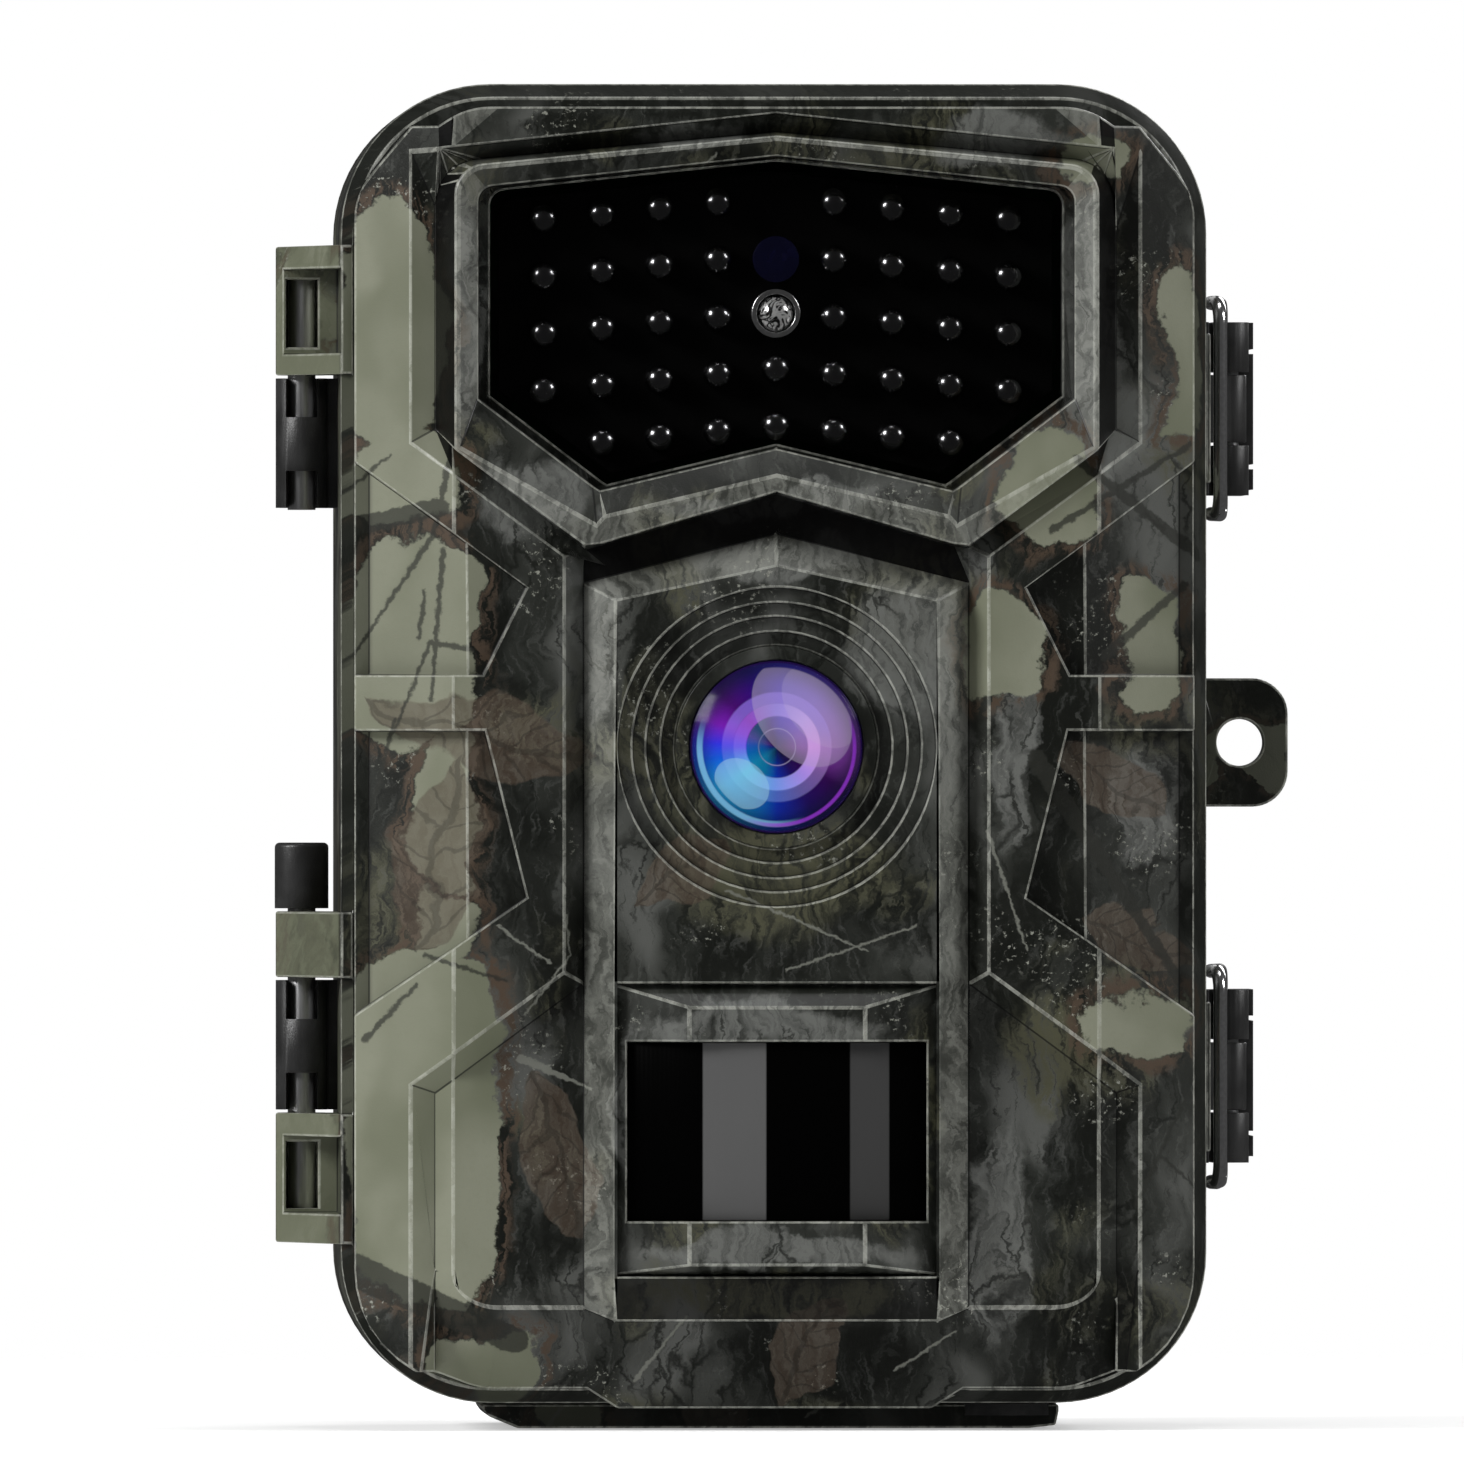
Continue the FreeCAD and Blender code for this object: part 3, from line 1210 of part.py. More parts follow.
def bracket_screws():
    screws = []
    head_r, head_h = BRACKET_HEAD
    slot_half, slot_width, slot_depth = BRACKET_SLOT
    seat = Y_BRACKET - BRACKET_SINK[1]
    tip = Y_BACK - WALL - 0.5
    for x, z in BRACKET_SCREWS:
        screw = fuse([rod(x, seat, z, head_r, head_h, "y"), rod(x, tip, z, BRACKET_SHANK_R, seat - tip, "y")])
        screws.append(screw.cut(driver_slot(x, seat + head_h, z, slot_half, slot_width, slot_depth - 0.2)))
    return screws


# ---------- the nodes ----------

def build_front():
    export("front_housing", front_housing())
    export("infrared_window", infrared_window())
    export("infrared_board", infrared_board())
    export("infrared_leds", [led(x, z, LED_R) for x, z in led_places()])
    export("light_sensor", light_sensor())
    export("indicator_lamp", led(0, LAMP_Z, LAMP_R))
    export("lamp_ring", lamp_ring())
    export("lens_glass", lens_glass())
    export("lens_bezel", lens_bezel())
    export("lens_barrel", lens_barrel())
    export("lens_holder", lens_holder())
    export("sensor_board", sensor_board())
    export("pir_frame", pir_frame())
    export("pir_lens", pir_lens())
    export("pir_sensor", pir_sensor())
    export("main_board", main_board())
    posts, screws = board_posts()
    export("board_posts", posts)
    export("board_screws", screws)
    export("tact_switches", tact_switches())
    export("screen", screen())
    export("inner_panel", inner_panel())
    export("panel_screws", panel_screws())
    for name, (x, z) in KEYS.items():
        export(name, key(x, z))
    export("mode_switch_body", mode_switch_body())
    export("mode_switch_knob", mode_switch_knob())
    export("card_slot", card_slot())
    export("memory_card", memory_card())
    export("usb_port", usb_port())
    export("dc_jack", dc_jack())
    export("port_plug", port_plug())
    export("speaker", speaker())
    export("microphone", microphone())


def build_rear():
    export("rear_housing", rear_housing())
    export("gasket", gasket())
    export("tripod_insert", tripod_insert())
    for name, (z0, z1) in BARRELS.items():
        export(f"hinge_barrel_{name}", hinge_barrel(z0, z1))
    for name, (z0, z1) in PINS.items():
        export(f"hinge_pin_{name}", hinge_pin(z0, z1))
    export("hinge_cap", hinge_cap())
    for name, z in LATCH_Z.items():
        export(f"latch_base_{name}", latch_base(z))
        export(f"latch_pin_{name}", latch_pin(z))
        export(f"latch_lever_{name}", latch_lever(z))
        export(f"latch_bail_{name}", bail(z))
    export("battery_tray", battery_tray())
    export("battery_cells", [cell(x, CELL_Z + i * CELL_H) for x in CELL_COLUMNS for i in (0, 1)])
    export("contact_springs", [contact_spring(x) for x in CELL_COLUMNS])
    export("contact_plates", [contact_plate(x) for x in CELL_COLUMNS])
    export("tree_bracket", tree_bracket())
    export("bracket_screws", bracket_screws())


build_front()
build_rear()
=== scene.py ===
"""Looks for the trail camera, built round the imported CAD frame. Metres, in the CAD frame."""
import json
import math

import bmesh
import bpy
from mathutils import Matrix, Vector


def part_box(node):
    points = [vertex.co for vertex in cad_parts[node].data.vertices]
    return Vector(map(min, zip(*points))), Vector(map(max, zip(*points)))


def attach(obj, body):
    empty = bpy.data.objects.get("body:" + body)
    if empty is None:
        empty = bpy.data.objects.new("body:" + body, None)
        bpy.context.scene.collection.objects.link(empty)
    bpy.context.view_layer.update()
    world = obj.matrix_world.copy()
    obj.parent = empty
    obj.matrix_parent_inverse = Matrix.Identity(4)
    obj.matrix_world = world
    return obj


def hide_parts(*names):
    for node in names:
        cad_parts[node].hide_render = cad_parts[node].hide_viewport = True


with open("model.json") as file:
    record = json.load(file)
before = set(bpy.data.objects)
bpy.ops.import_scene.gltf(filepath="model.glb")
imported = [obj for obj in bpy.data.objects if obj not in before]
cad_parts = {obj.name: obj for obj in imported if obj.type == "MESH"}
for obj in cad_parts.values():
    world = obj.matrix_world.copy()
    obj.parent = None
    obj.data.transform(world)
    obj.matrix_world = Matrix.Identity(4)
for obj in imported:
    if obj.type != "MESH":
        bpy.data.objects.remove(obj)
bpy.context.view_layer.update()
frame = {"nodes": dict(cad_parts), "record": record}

MM = 0.001
NODES = frame["nodes"]
BODY_OF = {node: body for body, members in frame["record"]["behaviour"]["bodies"].items() for node in members}


# ---------- node helpers ----------

SCALAR_RESULTS = ("DOT_PRODUCT", "LENGTH", "DISTANCE")


class Graph:
    """A small builder for shader node trees."""

    def __init__(self, name):
        self.material = bpy.data.materials.new(name)
        self.material.use_nodes = True
        self.tree = self.material.node_tree
        self.tree.nodes.clear()
        self.out = self.tree.nodes.new("ShaderNodeOutputMaterial")

    def node(self, kind, **settings):
        made = self.tree.nodes.new("ShaderNode" + kind)
        for key, value in settings.items():
            setattr(made, key, value)
        return made

    def put(self, socket, value):
        """Links a socket's output, or sets a plain value."""
        if isinstance(value, bpy.types.NodeSocket):
            self.tree.links.new(value, socket)
        else:
            socket.default_value = value

    def math(self, operation, *values, clamp=False):
        made = self.node("Math", operation=operation, use_clamp=clamp)
        for socket, value in zip(made.inputs, values):
            self.put(socket, value)
        return made.outputs[0]

    def vector(self, operation, *values):
        made = self.node("VectorMath", operation=operation)
        for socket, value in zip(made.inputs, values):
            self.put(socket, value)
        return made.outputs["Value" if operation in SCALAR_RESULTS else "Vector"]

    def combine(self, x=0.0, y=0.0, z=0.0):
        made = self.node("CombineXYZ")
        for socket, value in zip(made.inputs, (x, y, z)):
            self.put(socket, value)
        return made.outputs[0]

    def mix(self, factor, a, b):
        """Colour a where the factor is 0, colour b where it is 1."""
        made = self.node("Mix", data_type="RGBA")
        self.put(made.inputs["Factor"], factor)
        self.put(made.inputs["A"], a)
        self.put(made.inputs["B"], b)
        return made.outputs["Result"]

    def step(self, value, low, high, out_low=0.0, out_high=1.0):
        """A smooth step from out_low to out_high as the value goes from low to high."""
        made = self.node("MapRange", interpolation_type="SMOOTHSTEP")
        for socket, number in zip(made.inputs, (value, low, high, out_low, out_high)):
            self.put(socket, number)
        return made.outputs["Result"]

    def noise(self, vector, scale, detail=3.0, rough=0.55, warp=0.0):
        made = self.node("TexNoise")
        self.put(made.inputs["Vector"], vector)
        made.inputs["Scale"].default_value = scale
        made.inputs["Detail"].default_value = detail
        made.inputs["Roughness"].default_value = rough
        made.inputs["Distortion"].default_value = warp
        return made.outputs

    def millimetres(self):
        """Object coordinates in millimetres."""
        place = self.node("TexCoord").outputs["Object"]
        made = self.node("VectorMath", operation="SCALE")
        self.put(made.inputs[0], place)
        made.inputs["Scale"].default_value = 1 / MM
        return made.outputs[0]

    def split(self, vector):
        made = self.node("SeparateXYZ")
        self.put(made.inputs[0], vector)
        return made.outputs

    def bump(self, height, strength, distance):
        made = self.node("Bump")
        self.put(made.inputs["Height"], height)
        made.inputs["Strength"].default_value = strength
        made.inputs["Distance"].default_value = distance
        return made.outputs[0]

    def surface(self, **values):
        """A Principled shader on the output, with sockets set by their names, spaces as underscores."""
        made = self.node("BsdfPrincipled")
        for key, value in values.items():
            self.put(made.inputs[key.replace("_", " ")], value)
        self.tree.links.new(made.outputs[0], self.out.inputs["Surface"])
        return made


# ---------- camouflage ----------

SAGE = (0.198, 0.206, 0.152, 1)
SAGE_DARK = (0.126, 0.135, 0.090, 1)
BARK = (0.023, 0.025, 0.021, 1)
BARK_DARK = (0.006, 0.007, 0.005, 1)
BARK_LIGHT = (0.082, 0.085, 0.078, 1)
BARK_PALE = (0.118, 0.122, 0.113, 1)
OLIVE = (0.066, 0.066, 0.040, 1)
RUST = (0.066, 0.046, 0.031, 1)
LEAF = (0.100, 0.082, 0.062, 1)
LICHEN = (0.24, 0.245, 0.21, 1)
WEAR_AND_PAINTED_LIGHT = (0.52, 0.53, 0.47, 1)
SHADOW = (0.003, 0.003, 0.003, 1)
TWIG_DARK = (0.020, 0.021, 0.017, 1)
TWIG_LIGHT = (0.17, 0.175, 0.15, 1)

# where the sage ground shows: centre and half size (across, up) in millimetres
SAGE_PATCHES = [
    ((-38.6, 109.5), (5.2, 11.5)), ((-37.6, 94.5), (5.8, 4.6)), ((-36.4, 79.0), (6.4, 9.2)),
    ((-38.6, 72.5), (4.4, 3.4)), ((-33.0, 62.0), (2.8, 8.2)), ((-33.2, 49.5), (3.4, 3.6)),
    ((-35.2, 30.0), (7.2, 17.0)), ((-29.5, 7.0), (5.0, 2.6)), ((27.2, 94.4), (4.4, 5.4)),
    ((37.4, 79.0), (2.8, 6.0)), ((22.8, 78.0), (3.2, 5.2)), ((31.6, 127.2), (3.2, 2.4)),
    ((40.6, 108.0), (1.6, 8.0)), ((36.5, 40.5), (4.6, 3.0)), ((10.0, 103.0), (3.2, 5.2)),
]
# paler, silvery stretches of bark, and mossy ones: centre and half size
PALE_ZONES = [
    ((13.0, 78.0), (6.0, 7.0)), ((24.0, 68.0), (2.2, 9.0)), ((31.0, 112.0), (3.2, 13.0)),
    ((33.5, 99.0), (5.0, 4.0)),
    ((-30.5, 112.0), (1.6, 12.0)), ((-18.0, 78.0), (2.0, 9.0)), ((22.0, 128.5), (7.0, 2.2)),
    ((-9.0, 128.6), (5.0, 1.6)), ((36.5, 62.0), (3.4, 6.0)), ((-14.5, 34.0), (1.6, 8.0)),
    ((0.0, 92.5), (12.0, 1.5)), ((-2.0, 40.5), (13.0, 2.4)), ((22.0, 20.0), (3.0, 12.0)),
    ((0.5, 87.3), (9.0, 2.2)), ((-24.6, 93.0), (6.0, 3.6)), ((0.0, 18.2), (14.0, 1.6)),
]
OLIVE_ZONES = [
    ((0.5, 55.0), (11.5, 6.0)), ((-1.0, 13.5), (13.0, 2.6)), ((14.5, 33.0), (2.0, 9.0)),
    ((28.0, 39.0), (6.0, 5.0)), ((17.5, 97.0), (3.0, 5.0)),
]
DARK_ZONES = [
    ((-28.6, 82.0), (2.2, 7.0)), ((-21.0, 27.0), (2.6, 12.0)), ((33.0, 11.0), (7.0, 7.0)),
    ((12.5, 50.0), (4.0, 3.4)), ((-20.0, 129.5), (7.0, 1.8)), ((30.5, 84.5), (2.4, 5.0)),
    ((0.0, 131.5), (14.0, 1.2)), ((4.0, 7.0), (11.0, 3.0)), ((-38.5, 121.0), (4.0, 3.0)),
    ((-31.5, 55.0), (1.6, 7.0)), ((37.5, 127.0), (3.5, 4.0)), ((-12.0, 77.0), (3.0, 6.0)),
    ((24.0, 46.0), (2.6, 5.0)), ((29.5, 27.0), (3.0, 8.0)), ((-9.0, 95.8), (8.0, 1.2)),
    ((40.0, 66.0), (2.5, 8.0)),
]
# brown leaves: base (across, up), length, half width, lean in degrees
LEAVES = [
    ((-40.0, 73.0), 23.0, 4.6, -17.0), ((-36.5, 47.0), 20.0, 4.4, 74.0), ((-24.5, 36.0), 17.0, 3.6, -72.0),
    ((29.0, 70.0), 14.0, 3.4, -48.0), ((30.0, 52.0), 13.0, 3.2, -25.0), ((0.0, 2.5), 13.0, 3.4, 62.0),
    ((-14.0, 52.0), 12.0, 3.0, 38.0),
]
# branches: start and end (across, up), and the half thickness at each
DARK_TWIGS = [
    ((-32.3, 98.5), (-34.2, 89.5), 0.30, 0.28), ((-34.2, 89.5), (-43.0, 76.0), 0.28, 0.15),
    ((-33.2, 88.0), (-34.4, 73.0), 0.28, 0.20), ((-34.4, 79.0), (-38.4, 69.0), 0.20, 0.15),
    ((-34.4, 78.8), (-30.4, 78.0), 0.28, 0.25), ((-35.0, 84.0), (-35.6, 79.2), 0.18, 0.22),
    ((-43.5, 90.0), (-33.5, 92.2), 1.00, 0.90), ((-42.5, 94.0), (-38.5, 97.5), 0.20, 0.12),
    ((-38.0, 71.0), (-42.0, 55.0), 0.22, 0.14), ((-35.0, 47.5), (-27.0, 45.0), 0.22, 0.15),
    ((-41.0, 39.0), (-36.0, 44.5), 0.30, 0.20), ((30.0, 97.0), (42.5, 87.5), 0.45, 0.60),
    ((27.5, 90.0), (41.5, 98.5), 0.35, 0.25), ((33.0, 77.5), (41.0, 84.5), 0.55, 0.35),
    ((36.0, 22.5), (41.0, 33.0), 0.25, 0.15), ((38.5, 27.5), (41.8, 24.5), 0.18, 0.12),
    ((26.0, 67.0), (40.5, 45.0), 1.00, 0.45), ((-42.0, 16.0), (-26.0, 9.0), 1.70, 1.30),
]
LIGHT_TWIGS = [
    ((-27.8, 50.5), (-22.6, 46.7), 0.14, 0.10), ((-21.0, 51.5), (-20.6, 47.5), 0.12, 0.10),
    ((-20.6, 47.5), (-25.2, 41.5), 0.12, 0.10), ((-25.4, 37.2), (-18.5, 34.2), 0.45, 0.12),
    ((-13.0, 121.0), (-6.0, 127.5), 0.12, 0.10), ((1.0, 46.0), (14.0, 50.5), 0.12, 0.10),
    ((-5.0, 54.0), (9.0, 48.0), 0.15, 0.10), ((21.0, 60.0), (25.0, 48.0), 0.16, 0.10),
    ((-14.0, 5.0), (-9.0, 11.5), 0.18, 0.12), ((12.0, 6.0), (18.0, 10.0), 0.15, 0.10),
]


def twig_mask(g, place, twigs, soft):
    """1 on a set of tapering strokes."""
    total = None
    for (ax, ay), (bx, by), ra, rb in twigs:
        run = Vector((bx - ax, by - ay))
        away = g.vector("SUBTRACT", place, (ax, ay, 0.0))
        along = g.vector("DOT_PRODUCT", away, (*(run / run.length_squared), 0.0))
        t = g.math("ADD", along, 0.0, clamp=True)
        nearest = g.vector("MULTIPLY", g.combine(t, t, 0.0), (run.x, run.y, 0.0))
        half = g.math("MULTIPLY_ADD", t, rb - ra, ra)
        distance = g.math("SUBTRACT", g.vector("DISTANCE", away, nearest), half)
        total = distance if total is None else g.math("MINIMUM", total, distance)
    return g.step(total, -soft, soft, 1.0, 0.0)


def leaf_layer(g, place):
    """Leaf masks and their veins."""
    mask, vein = None, None
    for (bx, by), length, half, lean in LEAVES:
        c, s = math.cos(math.radians(lean)), math.sin(math.radians(lean))
        away = g.vector("SUBTRACT", place, (bx, by, 0.0))
        along = g.vector("DOT_PRODUCT", away, (c / length, s / length, 0.0))
        across = g.math("ABSOLUTE", g.vector("DOT_PRODUCT", away, (-s / half, c / half, 0.0)))
        bow = g.math("MULTIPLY", g.math("MULTIPLY", along, g.math("SUBTRACT", 1.0, along)), 4.0)
        inside = g.step(g.math("SUBTRACT", bow, across), -0.02, 0.06)
        slant = g.math("SUBTRACT", along, g.math("MULTIPLY", across, 0.18))
        ribs = g.math("SINE", g.math("MULTIPLY", slant, 44.0))
        ribs = g.math("MAXIMUM", g.step(ribs, 0.86, 0.99), g.step(across, 0.05, 0.09, 1.0, 0.0))
        ribs = g.math("MULTIPLY", ribs, inside)
        mask = inside if mask is None else g.math("MAXIMUM", mask, inside)
        vein = ribs if vein is None else g.math("MAXIMUM", vein, ribs)
    return mask, vein


def zone_mask(g, place, zones):
    """1 well inside any of a set of ellipses, fading out across their edges."""
    nearest = None
    for (cx, cz), (rx, rz) in zones:
        away = g.vector("MULTIPLY_ADD", place, (1 / rx, 1 / rz, 0.0), (-cx / rx, -cz / rz, 0.0))
        reach = g.vector("LENGTH", away)
        nearest = reach if nearest is None else g.math("MINIMUM", nearest, reach)
    return g.step(nearest, 0.72, 1.15, 1.0, 0.0)


def rounded_boxes(g, place, boxes):
    """The distance outside a set of round-cornered boxes, below 0 inside them."""
    edge = None
    for (cx, cz), (hx, hz) in boxes:
        corner = min(hx, hz) * 0.75
        away = g.vector("SUBTRACT", g.vector("ABSOLUTE", g.vector("SUBTRACT", place, (cx, cz, 0.0))),
                        (hx - corner, hz - corner, 0.0))
        reach = g.math("SUBTRACT", g.vector("LENGTH", g.vector("MAXIMUM", away, (0.0, 0.0, 0.0))), corner)
        edge = reach if edge is None else g.math("MINIMUM", edge, reach)
    return edge


def sage_edge(g, torn, depth):
    """The distance to the sage ground: its patches on the front, and noise round the back."""
    edge = rounded_boxes(g, torn, SAGE_PATCHES)
    rear = g.math("MULTIPLY", g.math("SUBTRACT", 0.60, g.noise(torn, 0.075, 2.0)["Fac"]), 30.0)
    rear = g.math("ADD", rear, g.step(depth, -33.0, -24.0, 30.0, 0.0))
    return g.math("MINIMUM", edge, rear)


def bark_layer(g, torn, bent, edge, streak, broad):
    """Bark: broad tones, upright streaks, cracks and a brickwork of small plates, rusty by the sage."""
    olive = g.noise(g.vector("ADD", bent, (90.0, 10.0, 0.0)), 0.07, 2.0, 0.5)["Fac"]
    cracks = g.node("TexVoronoi", feature="DISTANCE_TO_EDGE")
    g.put(cracks.inputs["Vector"], g.vector("MULTIPLY", torn, (1.0, 0.38, 1.0)))
    cracks.inputs["Scale"].default_value = 0.42
    crack = g.step(cracks.outputs["Distance"], 0.0, 0.09, 1.0, 0.0)
    bark = g.mix(g.step(broad, 0.36, 0.56), BARK_DARK, BARK)
    bark = g.mix(g.step(broad, 0.52, 0.66), bark, BARK_LIGHT)
    bark = g.mix(g.math("MULTIPLY", g.step(olive, 0.54, 0.64), g.step(streak, 0.38, 0.60)), bark, OLIVE)
    bark = g.mix(g.math("MULTIPLY", g.step(streak, 0.50, 0.70), 0.45), bark, BARK_LIGHT)
    bark = g.mix(g.math("MULTIPLY", g.step(streak, 0.46, 0.30), 0.75), bark, BARK_DARK)
    for zones, tint, low, high, weakest, strongest in (
            (PALE_ZONES, BARK_PALE, 0.30, 0.62, 0.35, 1.0), (OLIVE_ZONES, OLIVE, 0.36, 0.60, 0.15, 1.0),
            (DARK_ZONES, BARK_DARK, 0.66, 0.38, 0.45, 0.95)):
        grain = g.step(streak, low, high, weakest, strongest)
        bark = g.mix(g.math("MULTIPLY", zone_mask(g, torn, zones), grain), bark, tint)
    rough_part = g.step(g.noise(bent, 0.10, 1.0)["Fac"], 0.46, 0.56)
    bark = g.mix(g.math("MULTIPLY", g.math("MULTIPLY", crack, rough_part), 0.8), bark, BARK_DARK)
    rim = g.math("MULTIPLY", g.step(edge, 0.0, 0.5), g.step(edge, 0.9, 2.4, 1.0, 0.0))
    return g.mix(g.math("MULTIPLY", rim, g.step(streak, 0.42, 0.56)), bark, RUST)


def camo_graph(name, shade):
    """Bark, leaves and branches on sage, in the manner of a dipped film.

    The pattern is drawn on the front and slanted across the sides. A shade above 0 is painted light, a pale
    tint on faces and rounded edges (on edges partly wear too), and one below 0 is painted shade in grooves
    and recesses.
    """
    g = Graph(name)
    place = g.millimetres()
    x, y, z = g.split(place)
    behind = g.math("MAXIMUM", g.math("ADD", y, 31.0), 0.0)
    flat = g.combine(g.math("MULTIPLY_ADD", behind, 0.6, x), g.math("MULTIPLY_ADD", behind, 0.35, z), 0.0)
    half = (0.5, 0.5, 0.5)
    wide = g.vector("SUBTRACT", g.noise(flat, 0.11, 2.0)["Color"], half)
    ragged = g.vector("SUBTRACT", g.noise(flat, 1.1, 3.0, 0.6)["Color"], half)
    bent = g.vector("ADD", flat, g.vector("MULTIPLY", wide, (8.0, 8.0, 0.0)))
    torn = g.vector("ADD", bent, g.vector("MULTIPLY", ragged, (1.8, 1.8, 0.0)))
    edge = sage_edge(g, torn, y)
    streak = g.noise(g.vector("MULTIPLY", torn, (1.0, 0.20, 1.0)), 1.3, 5.0, 0.62, 0.4)["Fac"]
    broad = g.noise(g.vector("MULTIPLY", bent, (1.0, 0.55, 1.0)), 0.085, 2.0, 0.5)["Fac"]
    bark = bark_layer(g, torn, bent, edge, streak, broad)
    flecks = g.noise(flat, 1.5, 4.0, 0.7)["Fac"]
    patch = g.noise(g.vector("ADD", flat, (7.0, 3.0, 0.0)), 0.09, 1.0)["Fac"]
    bark = g.mix(g.math("MULTIPLY", g.step(flecks, 0.57, 0.66), g.step(patch, 0.56, 0.64)), bark, LICHEN)
    sage = g.mix(g.step(broad, 0.36, 0.70), SAGE, SAGE_DARK)
    sage = g.mix(g.step(flecks, 0.45, 0.75, 0.0, 0.12), sage, SAGE_DARK)
    colour = g.mix(g.step(edge, -0.15, 0.25), sage, bark)
    leaf, vein = leaf_layer(g, g.vector("ADD", bent, g.vector("MULTIPLY", ragged, (0.7, 0.7, 0.0))))
    colour = g.mix(g.math("MULTIPLY", leaf, 0.62), colour, g.mix(g.step(streak, 0.35, 0.65), RUST, LEAF))
    colour = g.mix(g.math("MULTIPLY", vein, 0.35), colour, BARK_DARK)
    drawn = g.vector("ADD", flat, g.vector("MULTIPLY", ragged, (0.9, 0.9, 0.0)))
    colour = g.mix(g.math("MULTIPLY", twig_mask(g, drawn, DARK_TWIGS, 0.12), 0.80), colour, TWIG_DARK)
    colour = g.mix(g.math("MULTIPLY", twig_mask(g, drawn, LIGHT_TWIGS, 0.10), 0.75), colour, TWIG_LIGHT)
    # the hinge arms are mostly sage, and the body behind the front plates is darker by painted shade
    arm = g.math("MULTIPLY", g.step(x, -43.7, -43.3, 1.0, 0.0), g.step(streak, 0.40, 0.62, 0.92, 0.35))
    colour = g.mix(arm, colour, SAGE_DARK)
    body = g.math("MULTIPLY", g.step(y, -31.9, -31.2), g.step(x, -43.6, -43.2))
    colour = g.mix(g.math("MULTIPLY", body, 0.75), colour, BARK_DARK)
    # painted light and shade: a positive shade mixes towards a pale tint (on rounded edges partly wear), a
    # negative one towards near black
    if shade > 0:
        colour = g.mix(g.step(streak, 0.35, 0.65, shade * 0.4, shade * 1.5), colour, WEAR_AND_PAINTED_LIGHT)
    elif shade < 0:
        colour = g.mix(-shade, colour, SHADOW)
    fine = g.noise(place, 5.5, 2.0)["Fac"]
    height = g.math("ADD", g.math("MULTIPLY", fine, 0.6), g.math("MULTIPLY", streak, 0.4))
    g.surface(Base_Color=colour, Roughness=g.math("MULTIPLY_ADD", fine, 0.12, 0.30),
              Normal=g.bump(height, 0.10, 0.0002), Specular_IOR_Level=0.36 if shade > -0.9 else 0.08)
    return g.material


# ---------- other materials ----------

def opaque(colour, gain=1.0):
    """A node colour from three channels, lightened or darkened by a gain."""
    return tuple(c * gain for c in colour) + (1,)


def moulded(name, colour, rough, grain=0.25, spread=0.35):
    """Moulded plastic: a fine spark-eroded grain with small shifts of tone."""
    g = Graph(name)
    place = g.millimetres()
    fine = g.noise(place, 7.0, 3.0, 0.6)["Fac"]
    tone = g.noise(place, 0.25, 3.0)["Fac"]
    shade = g.mix(g.step(tone, 0.3, 0.7), opaque(colour, 1 - spread), opaque(colour, 1 + spread))
    roughness = g.math("ADD", g.math("MULTIPLY", fine, 0.16), rough - 0.08)
    g.surface(Base_Color=shade, Roughness=roughness, Normal=g.bump(fine, grain, 0.00015))
    return g.material


def glossy(name, colour, rough, level):
    """A clean moulded gloss, a shade lighter here and there."""
    g = Graph(name)
    cloud = g.noise(g.millimetres(), 0.6, 2.0)["Fac"]
    tone = g.mix(g.step(cloud, 0.35, 0.65), opaque(colour), opaque(colour, 1.4))
    g.surface(Base_Color=tone, Roughness=rough, Specular_IOR_Level=level)
    return g.material


def led_dome(name):
    """A tinted lens dome that throws back little but the lights."""
    g = Graph(name)
    cloud = g.noise(g.millimetres(), 0.5, 2.0)["Fac"]
    tone = g.mix(cloud, (0.15, 0.15, 0.155, 1), (0.20, 0.20, 0.205, 1))
    g.surface(Base_Color=tone, Metallic=1.0, Roughness=0.19)
    return g.material


def lamp_dome(name):
    """A clear lamp over crumpled foil."""
    g = Graph(name)
    swirl = g.noise(g.millimetres(), 0.55, 2.0, 0.5, 2.2)["Fac"]
    folds = g.math("SINE", g.math("MULTIPLY", swirl, 26.0))
    tone = g.mix(g.step(folds, -0.5, 0.7), (0.03, 0.03, 0.03, 1), (0.85, 0.85, 0.84, 1))
    g.surface(Base_Color=tone, Metallic=0.55, Roughness=0.25, Coat_Weight=1.0, Coat_Roughness=0.05)
    return g.material


def metal(name, colour, rough, stretch=(1, 1, 1), scratches=0.1):
    """Bare metal with fine marks, drawn out where the stretch is below 1."""
    g = Graph(name)
    place = g.millimetres()
    lines = g.noise(g.vector("MULTIPLY", place, stretch), 3.0, 4.0, 0.6)["Fac"]
    tone = g.mix(g.step(lines, 0.35, 0.65), opaque(colour, 0.82), opaque(colour))
    roughness = g.math("ADD", g.math("MULTIPLY", lines, scratches), rough)
    g.surface(Base_Color=tone, Metallic=1.0, Roughness=roughness, Normal=g.bump(lines, 0.05, 0.0001))
    return g.material


def pane(name, tint, alpha, level):
    """A thin clear part, see-through by its alpha, with faint smudges."""
    g = Graph(name)
    smudge = g.noise(g.millimetres(), 0.8, 3.0)["Fac"]
    tone = g.mix(g.step(smudge, 0.4, 0.7), opaque(tint), opaque(tint, 0.7))
    roughness = g.math("MULTIPLY_ADD", smudge, 0.02, 0.02)
    g.surface(Base_Color=tone, Roughness=roughness, Alpha=alpha, Specular_IOR_Level=level)
    return g.material


# painted reflections of two strip lights, as pale bands on the motion lens: left and right in millimetres,
# and grey level
SENSOR_REFLECTIONS = ((-7.4, -1.1, 0.088), (7.3, 11.2, 0.042))


def between(g, value, low, high, soft):
    """1 from low to high, with soft ends."""
    rise = g.step(value, low - soft, low + soft)
    return g.math("MULTIPLY", rise, g.step(value, high - soft, high + soft, 1.0, 0.0))


